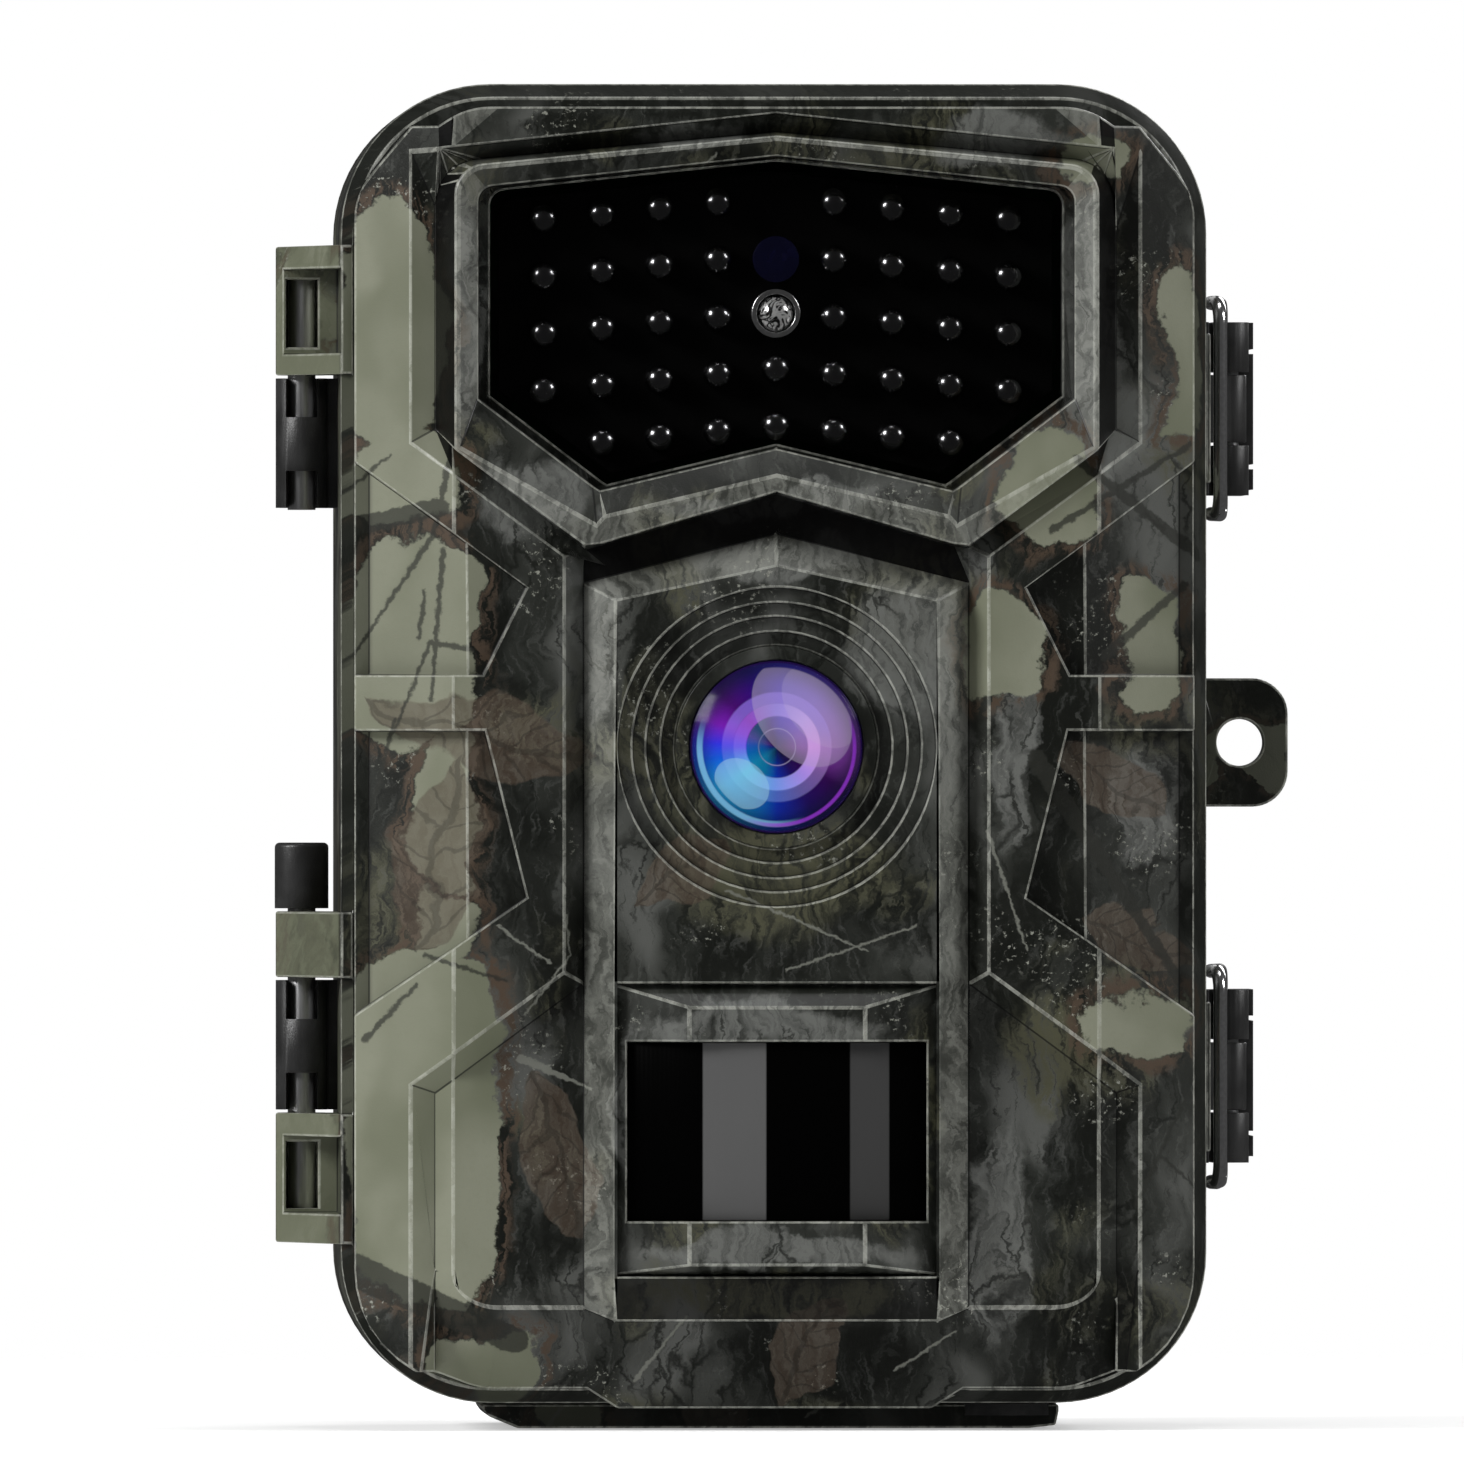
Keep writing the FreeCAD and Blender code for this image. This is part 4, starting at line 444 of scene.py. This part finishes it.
def sensor_lens(name):
    """The black motion lens: fine upright prism lines, and two paler bands of painted reflection."""
    g = Graph(name)
    x = g.split(g.millimetres())[0]
    colour = (0.0006, 0.0006, 0.0006, 1)
    for low, high, tone in SENSOR_REFLECTIONS:
        reflection_band = between(g, x, low, high, 0.1)
        colour = g.mix(reflection_band, colour, (tone, tone, tone, 1))
    lines = g.math("SINE", g.math("MULTIPLY", x, 14.0))
    g.surface(Base_Color=colour, Roughness=0.3, Normal=g.bump(lines, 0.02, 0.0001),
              Specular_IOR_Level=0.03)
    return g.material


# colours round the lens axis, from the right anticlockwise: part of a turn, and colour
LENS_TURNS = [
    (0.000, (0.22, 0.050, 0.36)), (0.070, (0.20, 0.070, 0.45)), (0.140, (0.13, 0.060, 0.50)),
    (0.230, (0.045, 0.025, 0.42)), (0.300, (0.020, 0.004, 0.16)), (0.380, (0.050, 0.004, 0.12)),
    (0.440, (0.16, 0.012, 0.38)), (0.490, (0.030, 0.030, 0.65)), (0.530, (0.006, 0.09, 0.60)),
    (0.600, (0.012, 0.30, 0.60)), (0.680, (0.003, 0.14, 0.34)), (0.750, (0.003, 0.020, 0.30)),
    (0.830, (0.012, 0.004, 0.09)), (0.910, (0.025, 0.002, 0.06)), (1.000, (0.22, 0.050, 0.36)),
]
RING_TURNS = [
    (0.000, (0.78, 0.36, 0.95)), (0.125, (0.62, 0.40, 0.98)), (0.250, (0.34, 0.26, 0.88)),
    (0.375, (0.40, 0.12, 0.72)), (0.500, (0.22, 0.16, 0.80)), (0.610, (0.10, 0.55, 0.80)),
    (0.740, (0.20, 0.36, 0.88)), (0.870, (0.45, 0.30, 0.90)), (1.000, (0.78, 0.36, 0.95)),
]


def lens_coating(name, centre, radius):
    """A multicoated front element: colours that turn round the axis, inner rings, painted glare highlights
    and a faint painted glow.
    """
    g = Graph(name)
    place = g.node("TexCoord").outputs["Object"]
    flat = g.vector("MULTIPLY", g.vector("SUBTRACT", place, centre), (1 / radius, 0.0, 1 / radius))
    u, _, v = g.split(flat)
    r = g.vector("LENGTH", flat)
    turn = g.math("DIVIDE", g.math("ARCTAN2", v, u), 2 * math.pi)
    turn = g.math("FRACT", g.math("ADD", turn, 1.0))

    def wheel(turns):
        """A colour that changes round the axis."""
        ramp = g.node("ValToRGB")
        g.put(ramp.inputs[0], turn)
        stops = ramp.color_ramp.elements
        for position, tint in turns[1:-1]:
            stops.new(position).color = opaque(tint)
        stops[0].color = opaque(turns[0][1])
        stops[len(stops) - 1].color = opaque(turns[-1][1])
        return ramp.outputs[0]

    def ring(low, high, soft=0.012):
        return between(g, r, low, high, soft)

    def within(limit, soft):
        return g.step(r, limit, limit + soft, 1.0, 0.0)

    def both(a, b):
        return g.math("MULTIPLY", a, b)

    def oval(cx, cy, across, along, lean):
        """1 inside an ellipse whose long way leans by an angle in degrees."""
        c, s = math.cos(math.radians(lean)), math.sin(math.radians(lean))
        away = g.vector("SUBTRACT", flat, (cx, 0.0, cy))
        a = g.vector("DOT_PRODUCT", away, (c / along, 0.0, s / along))
        b = g.vector("DOT_PRODUCT", away, (-s / across, 0.0, c / across))
        return g.step(g.vector("LENGTH", g.combine(a, b, 0.0)), 0.985, 1.015, 1.0, 0.0)

    lean = g.math("MULTIPLY_ADD", g.math("SUBTRACT", u, v), 0.45, 0.5, clamp=True)
    # painted highlights: a pale glare oval at the upper right, a paler one inside it, and a pale patch at the
    # lower left
    glare_highlight = both(oval(0.29, 0.38, 0.49, 0.68, -50.0), within(0.90, 0.025))
    patch = both(oval(-0.40, -0.42, 0.26, 0.34, -38.0), within(0.80, 0.02))
    lower_left = g.step(g.math("ADD", u, v), -0.45, -1.0)
    lower_right = g.step(g.math("SUBTRACT", u, v), 0.35, 1.0)
    dim = both(g.step(r, 0.0, 0.34, 0.12, 1.0), g.step(r, 0.66, 0.97, 1.0, 0.22))
    colour = g.mix(dim, (0.004, 0.008, 0.020, 1), wheel(LENS_TURNS))
    # from the first to the last: where it shows, its colour, and how strong it is
    layers = (
        (both(ring(0.50, 0.63), g.step(v, -0.1, 0.3)), (0.35, 0.22, 0.95, 1), 0.40),
        (both(ring(0.50, 0.63), g.step(v, 0.3, -0.1)), wheel(RING_TURNS), 0.30),
        (ring(0.355, 0.50), wheel(RING_TURNS), g.math("MULTIPLY_ADD", lean, 0.45, 0.50)),
        (ring(0.205, 0.218, 0.006), (0.45, 0.40, 0.60, 1), 0.45),
        (both(within(0.34, 0.02), g.step(u, -0.05, -0.20)), (0.0, 0.11, 0.17, 1), 0.55),
        (glare_highlight, (0.46, 0.38, 0.54, 1), 0.32),
        (both(glare_highlight, oval(0.50, 0.46, 0.36, 0.54, -50.0)), (0.60, 0.52, 0.62, 1), 0.14),
        (patch, (0.34, 0.62, 0.78, 1), 0.38),
        (both(ring(0.85, 0.915), lower_left), (0.20, 0.50, 0.75, 1), 0.70),
        (both(ring(0.875, 0.915), lower_right), (0.30, 0.04, 0.62, 1), 0.8),
        (g.step(r, 0.955, 0.975), (0.012, 0.004, 0.05, 1), 1.0),
    )
    for mask, tint, strength in layers:
        colour = g.mix(both(mask, strength), colour, tint)
    shader = g.surface(Base_Color=colour, Roughness=0.12, Specular_IOR_Level=0.06)
    # a painted glow: the coating gives off light of its own colours, though it is no lamp
    g.put(shader.inputs["Emission Color"], colour)
    shader.inputs["Emission Strength"].default_value = 0.25
    return g.material


MATERIALS = {
    "camo_shell": camo_graph("camo_shell", 0.0),
    # the shell's extra tones: painted highlight on rounded edges (partly wear), painted light on faces turned
    # to the lamps, painted shadow in the valley and on the bezel's outer flanks, and painted shade in creases
    # and under the motion sensor
    "camo_edge_wear_and_highlight": camo_graph("camo_edge_wear_and_highlight", 0.30),
    "camo_painted_light": camo_graph("camo_painted_light", 0.13),
    "camo_painted_shadow": camo_graph("camo_painted_shadow", -0.95),
    "camo_painted_crease_shade": camo_graph("camo_painted_crease_shade", -0.72),
    "black_plastic": moulded("black_plastic", (0.021, 0.021, 0.021), 0.36),
    "grey_plastic": moulded("grey_plastic", (0.055, 0.056, 0.058), 0.5),
    "key_plastic": moulded("key_plastic", (0.32, 0.33, 0.34), 0.42, spread=0.08),
    "chrome_wire": metal("chrome_wire", (0.90, 0.90, 0.91), 0.13, scratches=0.04),
    "steel": metal("steel", (0.80, 0.80, 0.81), 0.33, (1, 1, 0.1)),
    "metal_can": metal("metal_can", (0.55, 0.55, 0.53), 0.32),
    "brass": metal("brass", (0.72, 0.50, 0.20), 0.24, (1, 1, 6)),
    "cell_jacket": metal("cell_jacket", (0.24, 0.26, 0.30), 0.3, (1, 1, 0.2)),
    "rubber": moulded("rubber", (0.016, 0.016, 0.016), 0.7),
    "led_dome": led_dome("led_dome"),
    "black_gloss": moulded("black_gloss", (0.004, 0.004, 0.004), 0.10, grain=0.0),
    "pcb_green": moulded("pcb_green", (0.012, 0.10, 0.035), 0.38, grain=0.4),
    "pcb_black": glossy("pcb_black", (0.0008, 0.0008, 0.0008), 0.5, 0.1),
    "screen_glass": moulded("screen_glass", (0.01, 0.012, 0.016), 0.1, grain=0.0),
    "card_plastic": moulded("card_plastic", (0.02, 0.02, 0.025), 0.45),
    "clear_dome": lamp_dome("clear_dome"),
    "bright_ring": metal("bright_ring", (0.95, 0.95, 0.95), 0.20),
    "ir_filter": pane("ir_filter", (0.0005, 0.0005, 0.0005), 0.15, 0.04),
    "coated_glass": pane("coated_glass", (0.01, 0.005, 0.05), 0.14, 0.10),
    "sensor_lens": sensor_lens("sensor_lens"),
    "navy_gloss": glossy("navy_gloss", (0.002, 0.002, 0.014), 0.25, 0.3),
}


def paint(obj, *names):
    """Gives an object its materials and keeps which face has which slot."""
    slots = [polygon.material_index for polygon in obj.data.polygons]
    obj.data.materials.clear()
    for name in names:
        obj.data.materials.append(MATERIALS[name])
    if len(names) > 1:
        obj.data.polygons.foreach_set("material_index", slots)


# ---------- bevelled copies of the CAD shells ----------

WELD = 4e-6
FLAT_ANGLE = math.radians(1.2)
SHARP_ANGLE = math.radians(17)
SMOOTH_ANGLE = math.radians(30)
BEVEL_ANGLE = math.radians(35)
SHELL_EDGE, SHELL_GROOVE, NODE_EDGE = 0.22 * MM, 0.1 * MM, 0.12 * MM
# shell slots: rounded edges with painted highlight, filled inner edges and some faces with painted shade,
# faces with painted light, and faces with painted shadow
EDGE_SLOT, GROOVE_SLOT, LIT_SLOT, DARK_SLOT = 1, 2, 3, 4
SHELL_MATERIALS = ("camo_shell", "camo_edge_wear_and_highlight", "camo_painted_crease_shade", "camo_painted_light", "camo_painted_shadow")
FRONTAL = -0.99
FAR = 1000.0

# cuts across the recess floor and the column's front where their painted shade changes:
# place and axis of the cut, and the depth of the face, in millimetres
FRONT_CUTS = ((19.25, "x", -38.8), (-19.25, "x", -38.8), (84.7, "z", -38.8), (15.5, "z", -42.4))

# painted light and shade on the front faces: slot, the way that the face looks, and the ranges of its
# middle's distance from the centre line, depth and height, in millimetres; the first row that fits counts
TONE_ROWS = (
    (DARK_SLOT, "front", (-FAR, 19.2), (-38.9, -38.7), (84.7, 94.0)),
    (DARK_SLOT, "outward", (32.0, 34.1), (-42.3, -37.0), (98.0, FAR)),
    (GROOVE_SLOT, "front", (-FAR, 16.1), (-FAR, -42.0), (11.0, 15.5)),
    (LIT_SLOT, "up", (-FAR, 19.2), (-FAR, -38.9), (83.0, 89.6)),
    (LIT_SLOT, "outward", (16.1, 19.3), (-FAR, -38.9), (-FAR, 85.0)),
    (LIT_SLOT, "inward", (29.6, FAR), (-FAR, -40.5), (98.0, FAR)),
    (LIT_SLOT, "front", (-FAR, FAR), (-FAR, -42.3), (88.0, FAR)),
)


def bevel_marked(bm, layer, slot, width):
    """Rounds over the edges marked with a material slot, and gives the new faces that slot."""
    edges = [e for e in bm.edges if e[layer] == slot and len(e.link_faces) == 2]
    bmesh.ops.bevel(bm, geom=edges, offset=width, segments=2, profile=0.5, affect="EDGES", material=slot,
                    clamp_overlap=False, offset_type="OFFSET", loop_slide=True, miter_outer="SHARP",
                    miter_inner="SHARP")


def split_front(bm):
    """Makes the front cuts, so that the faces on each side can differ in tone."""
    for where, axis, depth in FRONT_CUTS:
        faces = [f for f in bm.faces
                 if f.normal.y < FRONTAL and abs(f.calc_center_median().y / MM - depth) < 0.05]
        geometry = set(faces) | {e for f in faces for e in f.edges} | {v for f in faces for v in f.verts}
        place = (where * MM, 0, 0) if axis == "x" else (0, 0, where * MM)
        normal = (1, 0, 0) if axis == "x" else (0, 0, 1)
        bmesh.ops.bisect_plane(bm, geom=list(geometry), plane_co=place, plane_no=normal, dist=1e-6)


def tone_slot(face):
    """The slot of painted light or shade for a face of the front housing: 0 where no row of tones fits."""
    normal = face.normal
    if normal.y > -0.05:
        return 0
    middle = face.calc_center_median() / MM
    frontal, outward = normal.y < FRONTAL, normal.x * middle.x > 0
    looks = {"front": frontal, "up": normal.z > 0.5,
             "outward": outward and not frontal, "inward": not outward}
    place = (abs(middle.x), middle.y, middle.z)
    for slot, way, *ranges in TONE_ROWS:
        if looks[way] and all(low < value < high for value, (low, high) in zip(place, ranges)):
            return slot
    return 0


def edged_copy(node):
    """A copy of a CAD node with flat faces merged, outer edges rounded over and inner edges filled."""
    mesh = NODES[node].data.copy()
    bm = bmesh.new()
    bm.from_mesh(mesh)
    bmesh.ops.remove_doubles(bm, verts=bm.verts, dist=WELD)
    bmesh.ops.dissolve_degenerate(bm, edges=bm.edges, dist=1e-6)
    bmesh.ops.dissolve_limit(bm, angle_limit=FLAT_ANGLE, verts=bm.verts, edges=bm.edges)
    if node == "front_housing":
        split_front(bm)
    bmesh.ops.triangulate(bm, faces=[f for f in bm.faces if len(f.verts) > 4],
                          quad_method="BEAUTY", ngon_method="BEAUTY")
    bmesh.ops.recalc_face_normals(bm, faces=bm.faces)
    layer = bm.edges.layers.int.new("mark")
    # front faces get their slots of painted light and shade
    for face in bm.faces:
        face.material_index = tone_slot(face) if node == "front_housing" else 0
    # convex edges are rounded over with painted highlight, concave ones filled with painted shade
    for edge in bm.edges:
        if len(edge.link_faces) == 2 and edge.calc_face_angle(0.0) > SHARP_ANGLE:
            edge[layer] = EDGE_SLOT if edge.is_convex else GROOVE_SLOT
    bevel_marked(bm, layer, EDGE_SLOT, SHELL_EDGE)
    bevel_marked(bm, layer, GROOVE_SLOT, SHELL_GROOVE)
    bm.to_mesh(mesh)
    bm.free()
    obj = bpy.data.objects.new(node + "_shell", mesh)
    bpy.context.scene.collection.objects.link(obj)
    paint(obj, *SHELL_MATERIALS)
    for polygon in obj.data.polygons:
        polygon.use_smooth = True
    weighted = obj.modifiers.new("weighted", "WEIGHTED_NORMAL")
    weighted.keep_sharp = True
    obj.data.set_sharp_from_angle(angle=SMOOTH_ANGLE)
    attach(obj, BODY_OF[node])
    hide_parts(node)


def bevel_node(node, material):
    """Paints a CAD node and rounds its edges by modifiers."""
    obj = NODES[node]
    paint(obj, material)
    weld = obj.modifiers.new("weld", "WELD")
    weld.merge_threshold = WELD
    bevel = obj.modifiers.new("bevel", "BEVEL")
    bevel.width = NODE_EDGE
    bevel.segments = 2
    bevel.limit_method = "ANGLE"
    bevel.angle_limit = BEVEL_ANGLE
    bevel.harden_normals = True


for subpart in frame["record"]["subparts"]:
    bevel_node(subpart["node"], subpart["material_slot"])

paint(NODES["lens_bezel"], "camo_shell")
paint(NODES["lamp_ring"], "bright_ring")
paint(NODES["pir_lens"], "sensor_lens")
paint(NODES["light_sensor"], "navy_gloss")


# ---------- lens and infrared domes ----------

# in millimetres
COATING_GAP, COATING_INSET, COATING_BULGE, COATING_RINGS = 0.14, 0.12, 2.6, 24
LED_ROUNDNESS = 0.99
LED_RIM = 0.06
LED_SEGMENTS, LED_RINGS = 32, 12


def turned(name, profile, centres, segments=96):
    """A mesh turned about axes along y, one at each centre, from (radius, depth) in millimetres."""
    bm = bmesh.new()
    angles = [2 * math.pi * i / segments for i in range(segments)]
    for centre in centres:
        rings = []
        for r, depth in profile:
            y = centre.y + depth * MM
            if r == 0:
                rings.append([bm.verts.new((centre.x, y, centre.z))])
                continue
            rings.append([bm.verts.new((centre.x + r * MM * math.cos(a), y, centre.z + r * MM * math.sin(a)))
                          for a in angles])
        for a, b in zip(rings, rings[1:]):
            for i in range(segments):
                j = (i + 1) % segments
                corners = [a[i % len(a)], a[j % len(a)], b[j % len(b)], b[i % len(b)]]
                corners = [v for k, v in enumerate(corners) if v is not corners[k - 1]]
                bm.faces.new(corners).smooth = True
    mesh = bpy.data.meshes.new(name)
    bmesh.ops.recalc_face_normals(bm, faces=bm.faces)
    bm.to_mesh(mesh)
    bm.free()
    obj = bpy.data.objects.new(name, mesh)
    bpy.context.scene.collection.objects.link(obj)
    return obj


def lens_elements():
    """The coated element just inside the front glass."""
    low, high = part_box("lens_glass")
    centre = Vector(((low[0] + high[0]) / 2, low[1], (low[2] + high[2]) / 2))
    radius = (high[0] - low[0]) / 2
    reach = radius / MM - COATING_INSET
    globe = (reach ** 2 + COATING_BULGE ** 2) / (2 * COATING_BULGE)
    radii = [reach * i / COATING_RINGS for i in range(COATING_RINGS + 1)]
    profile = [(r, COATING_GAP + globe - math.sqrt(globe ** 2 - r ** 2)) for r in radii]
    obj = turned("lens_coating", profile, [centre])
    obj.data.materials.append(lens_coating("lens_coating", tuple(centre), radius))
    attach(obj, BODY_OF["lens_glass"])


def islands(mesh):
    """The box of each loose part, as its lowest and highest corners."""
    bm = bmesh.new()
    bm.from_mesh(mesh)
    bmesh.ops.remove_doubles(bm, verts=bm.verts, dist=WELD)
    seen, boxes = set(), []
    for start in bm.verts:
        if start in seen:
            continue
        seen.add(start)
        stack, part = [start], []
        while stack:
            vert = stack.pop()
            part.append(vert.co.copy())
            for edge in vert.link_edges:
                other = edge.other_vert(vert)
                if other not in seen:
                    seen.add(other)
                    stack.append(other)
        boxes.append([Vector([pick(p[i] for p in part) for i in range(3)]) for pick in (min, max)])
    bm.free()
    return boxes


def led_domes():
    """Smooth domed lamps in place of the faceted ones."""
    boxes = islands(NODES["infrared_leds"].data)
    low, high = boxes[0]
    radius, depth = (high.x - low.x) / 2 / MM, (high.y - low.y) / MM
    bulge = radius * LED_ROUNDNESS
    turns = [math.radians(90 * i / LED_RINGS) for i in range(1, LED_RINGS + 1)]
    profile = [(0, 0)] + [(radius * math.sin(t), bulge * (1 - math.cos(t))) for t in turns]
    profile += [(radius, bulge + LED_RIM), (radius, depth - LED_RIM), (radius, depth), (0, depth)]
    tips = [Vector(((low.x + high.x) / 2, low.y, (low.z + high.z) / 2)) for low, high in boxes]
    obj = turned("led_domes", profile, tips, LED_SEGMENTS)
    paint(obj, "led_dome")
    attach(obj, BODY_OF["infrared_leds"])
    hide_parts("infrared_leds")


lens_elements()
led_domes()
for shell in ("front_housing", "rear_housing", "pir_frame"):
    edged_copy(shell)


# ---------- stage ----------

# metres
FLOOR_RADIUS, FLOOR_SEGMENTS = 0.62, 96
LIGHT_AIM = (0.0, -0.02, 0.067)
# name, place, size across and along, watts
LIGHTS = (
    ("key", (-1.15, -0.61, 0.70), (0.48, 0.48), 19.0),
    ("side_right", (0.84, -0.27, 0.54), (0.32, 0.32), 5.0),
    ("top", (0.05, -0.13, 1.20), (0.5, 0.3), 3.2),
    ("rear", (0.7, 1.5, 0.8), (0.8, 0.8), 9.0),
)
AMBIENT, BACKDROP = 0.06, 1.0
LENS_MM, SENSOR_MM, VIEW_WIDTH = 1200.0, 36.0, 0.1464
CAMERA_AZIMUTH = math.radians(-1.4)
# the aimed point: to the right, up, and towards the camera
AIM_ACROSS, AIM_UP, AIM_NEAR = -0.00345, 0.0698, 0.030


def floor():
    """A pale round floor that fades out towards its edge."""
    angles = [2 * math.pi * i / FLOOR_SEGMENTS for i in range(FLOOR_SEGMENTS)]
    ring = [(FLOOR_RADIUS * math.cos(a), FLOOR_RADIUS * math.sin(a), 0) for a in angles]
    mesh = bpy.data.meshes.new("floor")
    mesh.from_pydata(ring, [], [list(range(FLOOR_SEGMENTS))])
    obj = bpy.data.objects.new("floor", mesh)
    bpy.context.scene.collection.objects.link(obj)
    g = Graph("floor")
    place = g.millimetres()
    tone = g.mix(g.noise(place, 0.004, 2.0)["Fac"], (0.84, 0.84, 0.84, 1), (0.88, 0.88, 0.88, 1))
    fade = g.step(g.vector("LENGTH", place), 240.0, 600.0, 1.0, 0.0)
    shader = g.surface(Base_Color=tone, Roughness=0.9, Alpha=fade)
    shader.inputs["Emission Color"].default_value = (1, 1, 1, 1)
    shader.inputs["Emission Strength"].default_value = 0.40
    obj.data.materials.append(g.material)
    obj.visible_glossy = False


def area(name, place, size, power):
    """A soft light that faces the object."""
    light = bpy.data.lights.new(name, "AREA")
    light.shape = "RECTANGLE"
    light.size, light.size_y = size
    light.energy = power
    obj = bpy.data.objects.new(name, light)
    bpy.context.scene.collection.objects.link(obj)
    obj.location = place
    obj.rotation_euler = (Vector(LIGHT_AIM) - Vector(place)).to_track_quat("-Z", "Y").to_euler()
    obj.visible_camera = False


def surroundings():
    """A white backdrop that adds only a little light."""
    world = bpy.data.worlds.new("world")
    bpy.context.scene.world = world
    world.use_nodes = True
    tree = world.node_tree
    tree.nodes.clear()
    out = tree.nodes.new("ShaderNodeOutputWorld")
    mix = tree.nodes.new("ShaderNodeMixShader")
    path = tree.nodes.new("ShaderNodeLightPath")
    tree.links.new(path.outputs["Is Camera Ray"], mix.inputs[0])
    for socket, strength in ((mix.inputs[1], AMBIENT), (mix.inputs[2], BACKDROP)):
        background = tree.nodes.new("ShaderNodeBackground")
        background.inputs[0].default_value = (1.0, 1.0, 1.0, 1)
        background.inputs[1].default_value = strength
        tree.links.new(background.outputs[0], socket)
    tree.links.new(mix.outputs[0], out.inputs[0])


def camera():
    """A very long lens from just left of square on, level with the housing's middle."""
    data = bpy.data.cameras.new("camera")
    data.lens, data.sensor_width = LENS_MM, SENSOR_MM
    data.clip_start, data.clip_end = 0.05, 60.0
    obj = bpy.data.objects.new("camera", data)
    bpy.context.scene.collection.objects.link(obj)
    back = Vector((math.sin(CAMERA_AZIMUTH), -math.cos(CAMERA_AZIMUTH), 0.0))
    across = Vector((math.cos(CAMERA_AZIMUTH), math.sin(CAMERA_AZIMUTH), 0.0))
    aim = across * AIM_ACROSS + Vector((0, 0, AIM_UP)) + back * AIM_NEAR
    obj.location = aim + back * (LENS_MM / SENSOR_MM * VIEW_WIDTH)
    obj.rotation_mode = "QUATERNION"
    obj.rotation_quaternion = (-back).to_track_quat("-Z", "Y")
    bpy.context.scene.camera = obj


floor()
for light in LIGHTS:
    area(*light)
surroundings()
camera()
bpy.context.scene.view_settings.view_transform = "Standard"
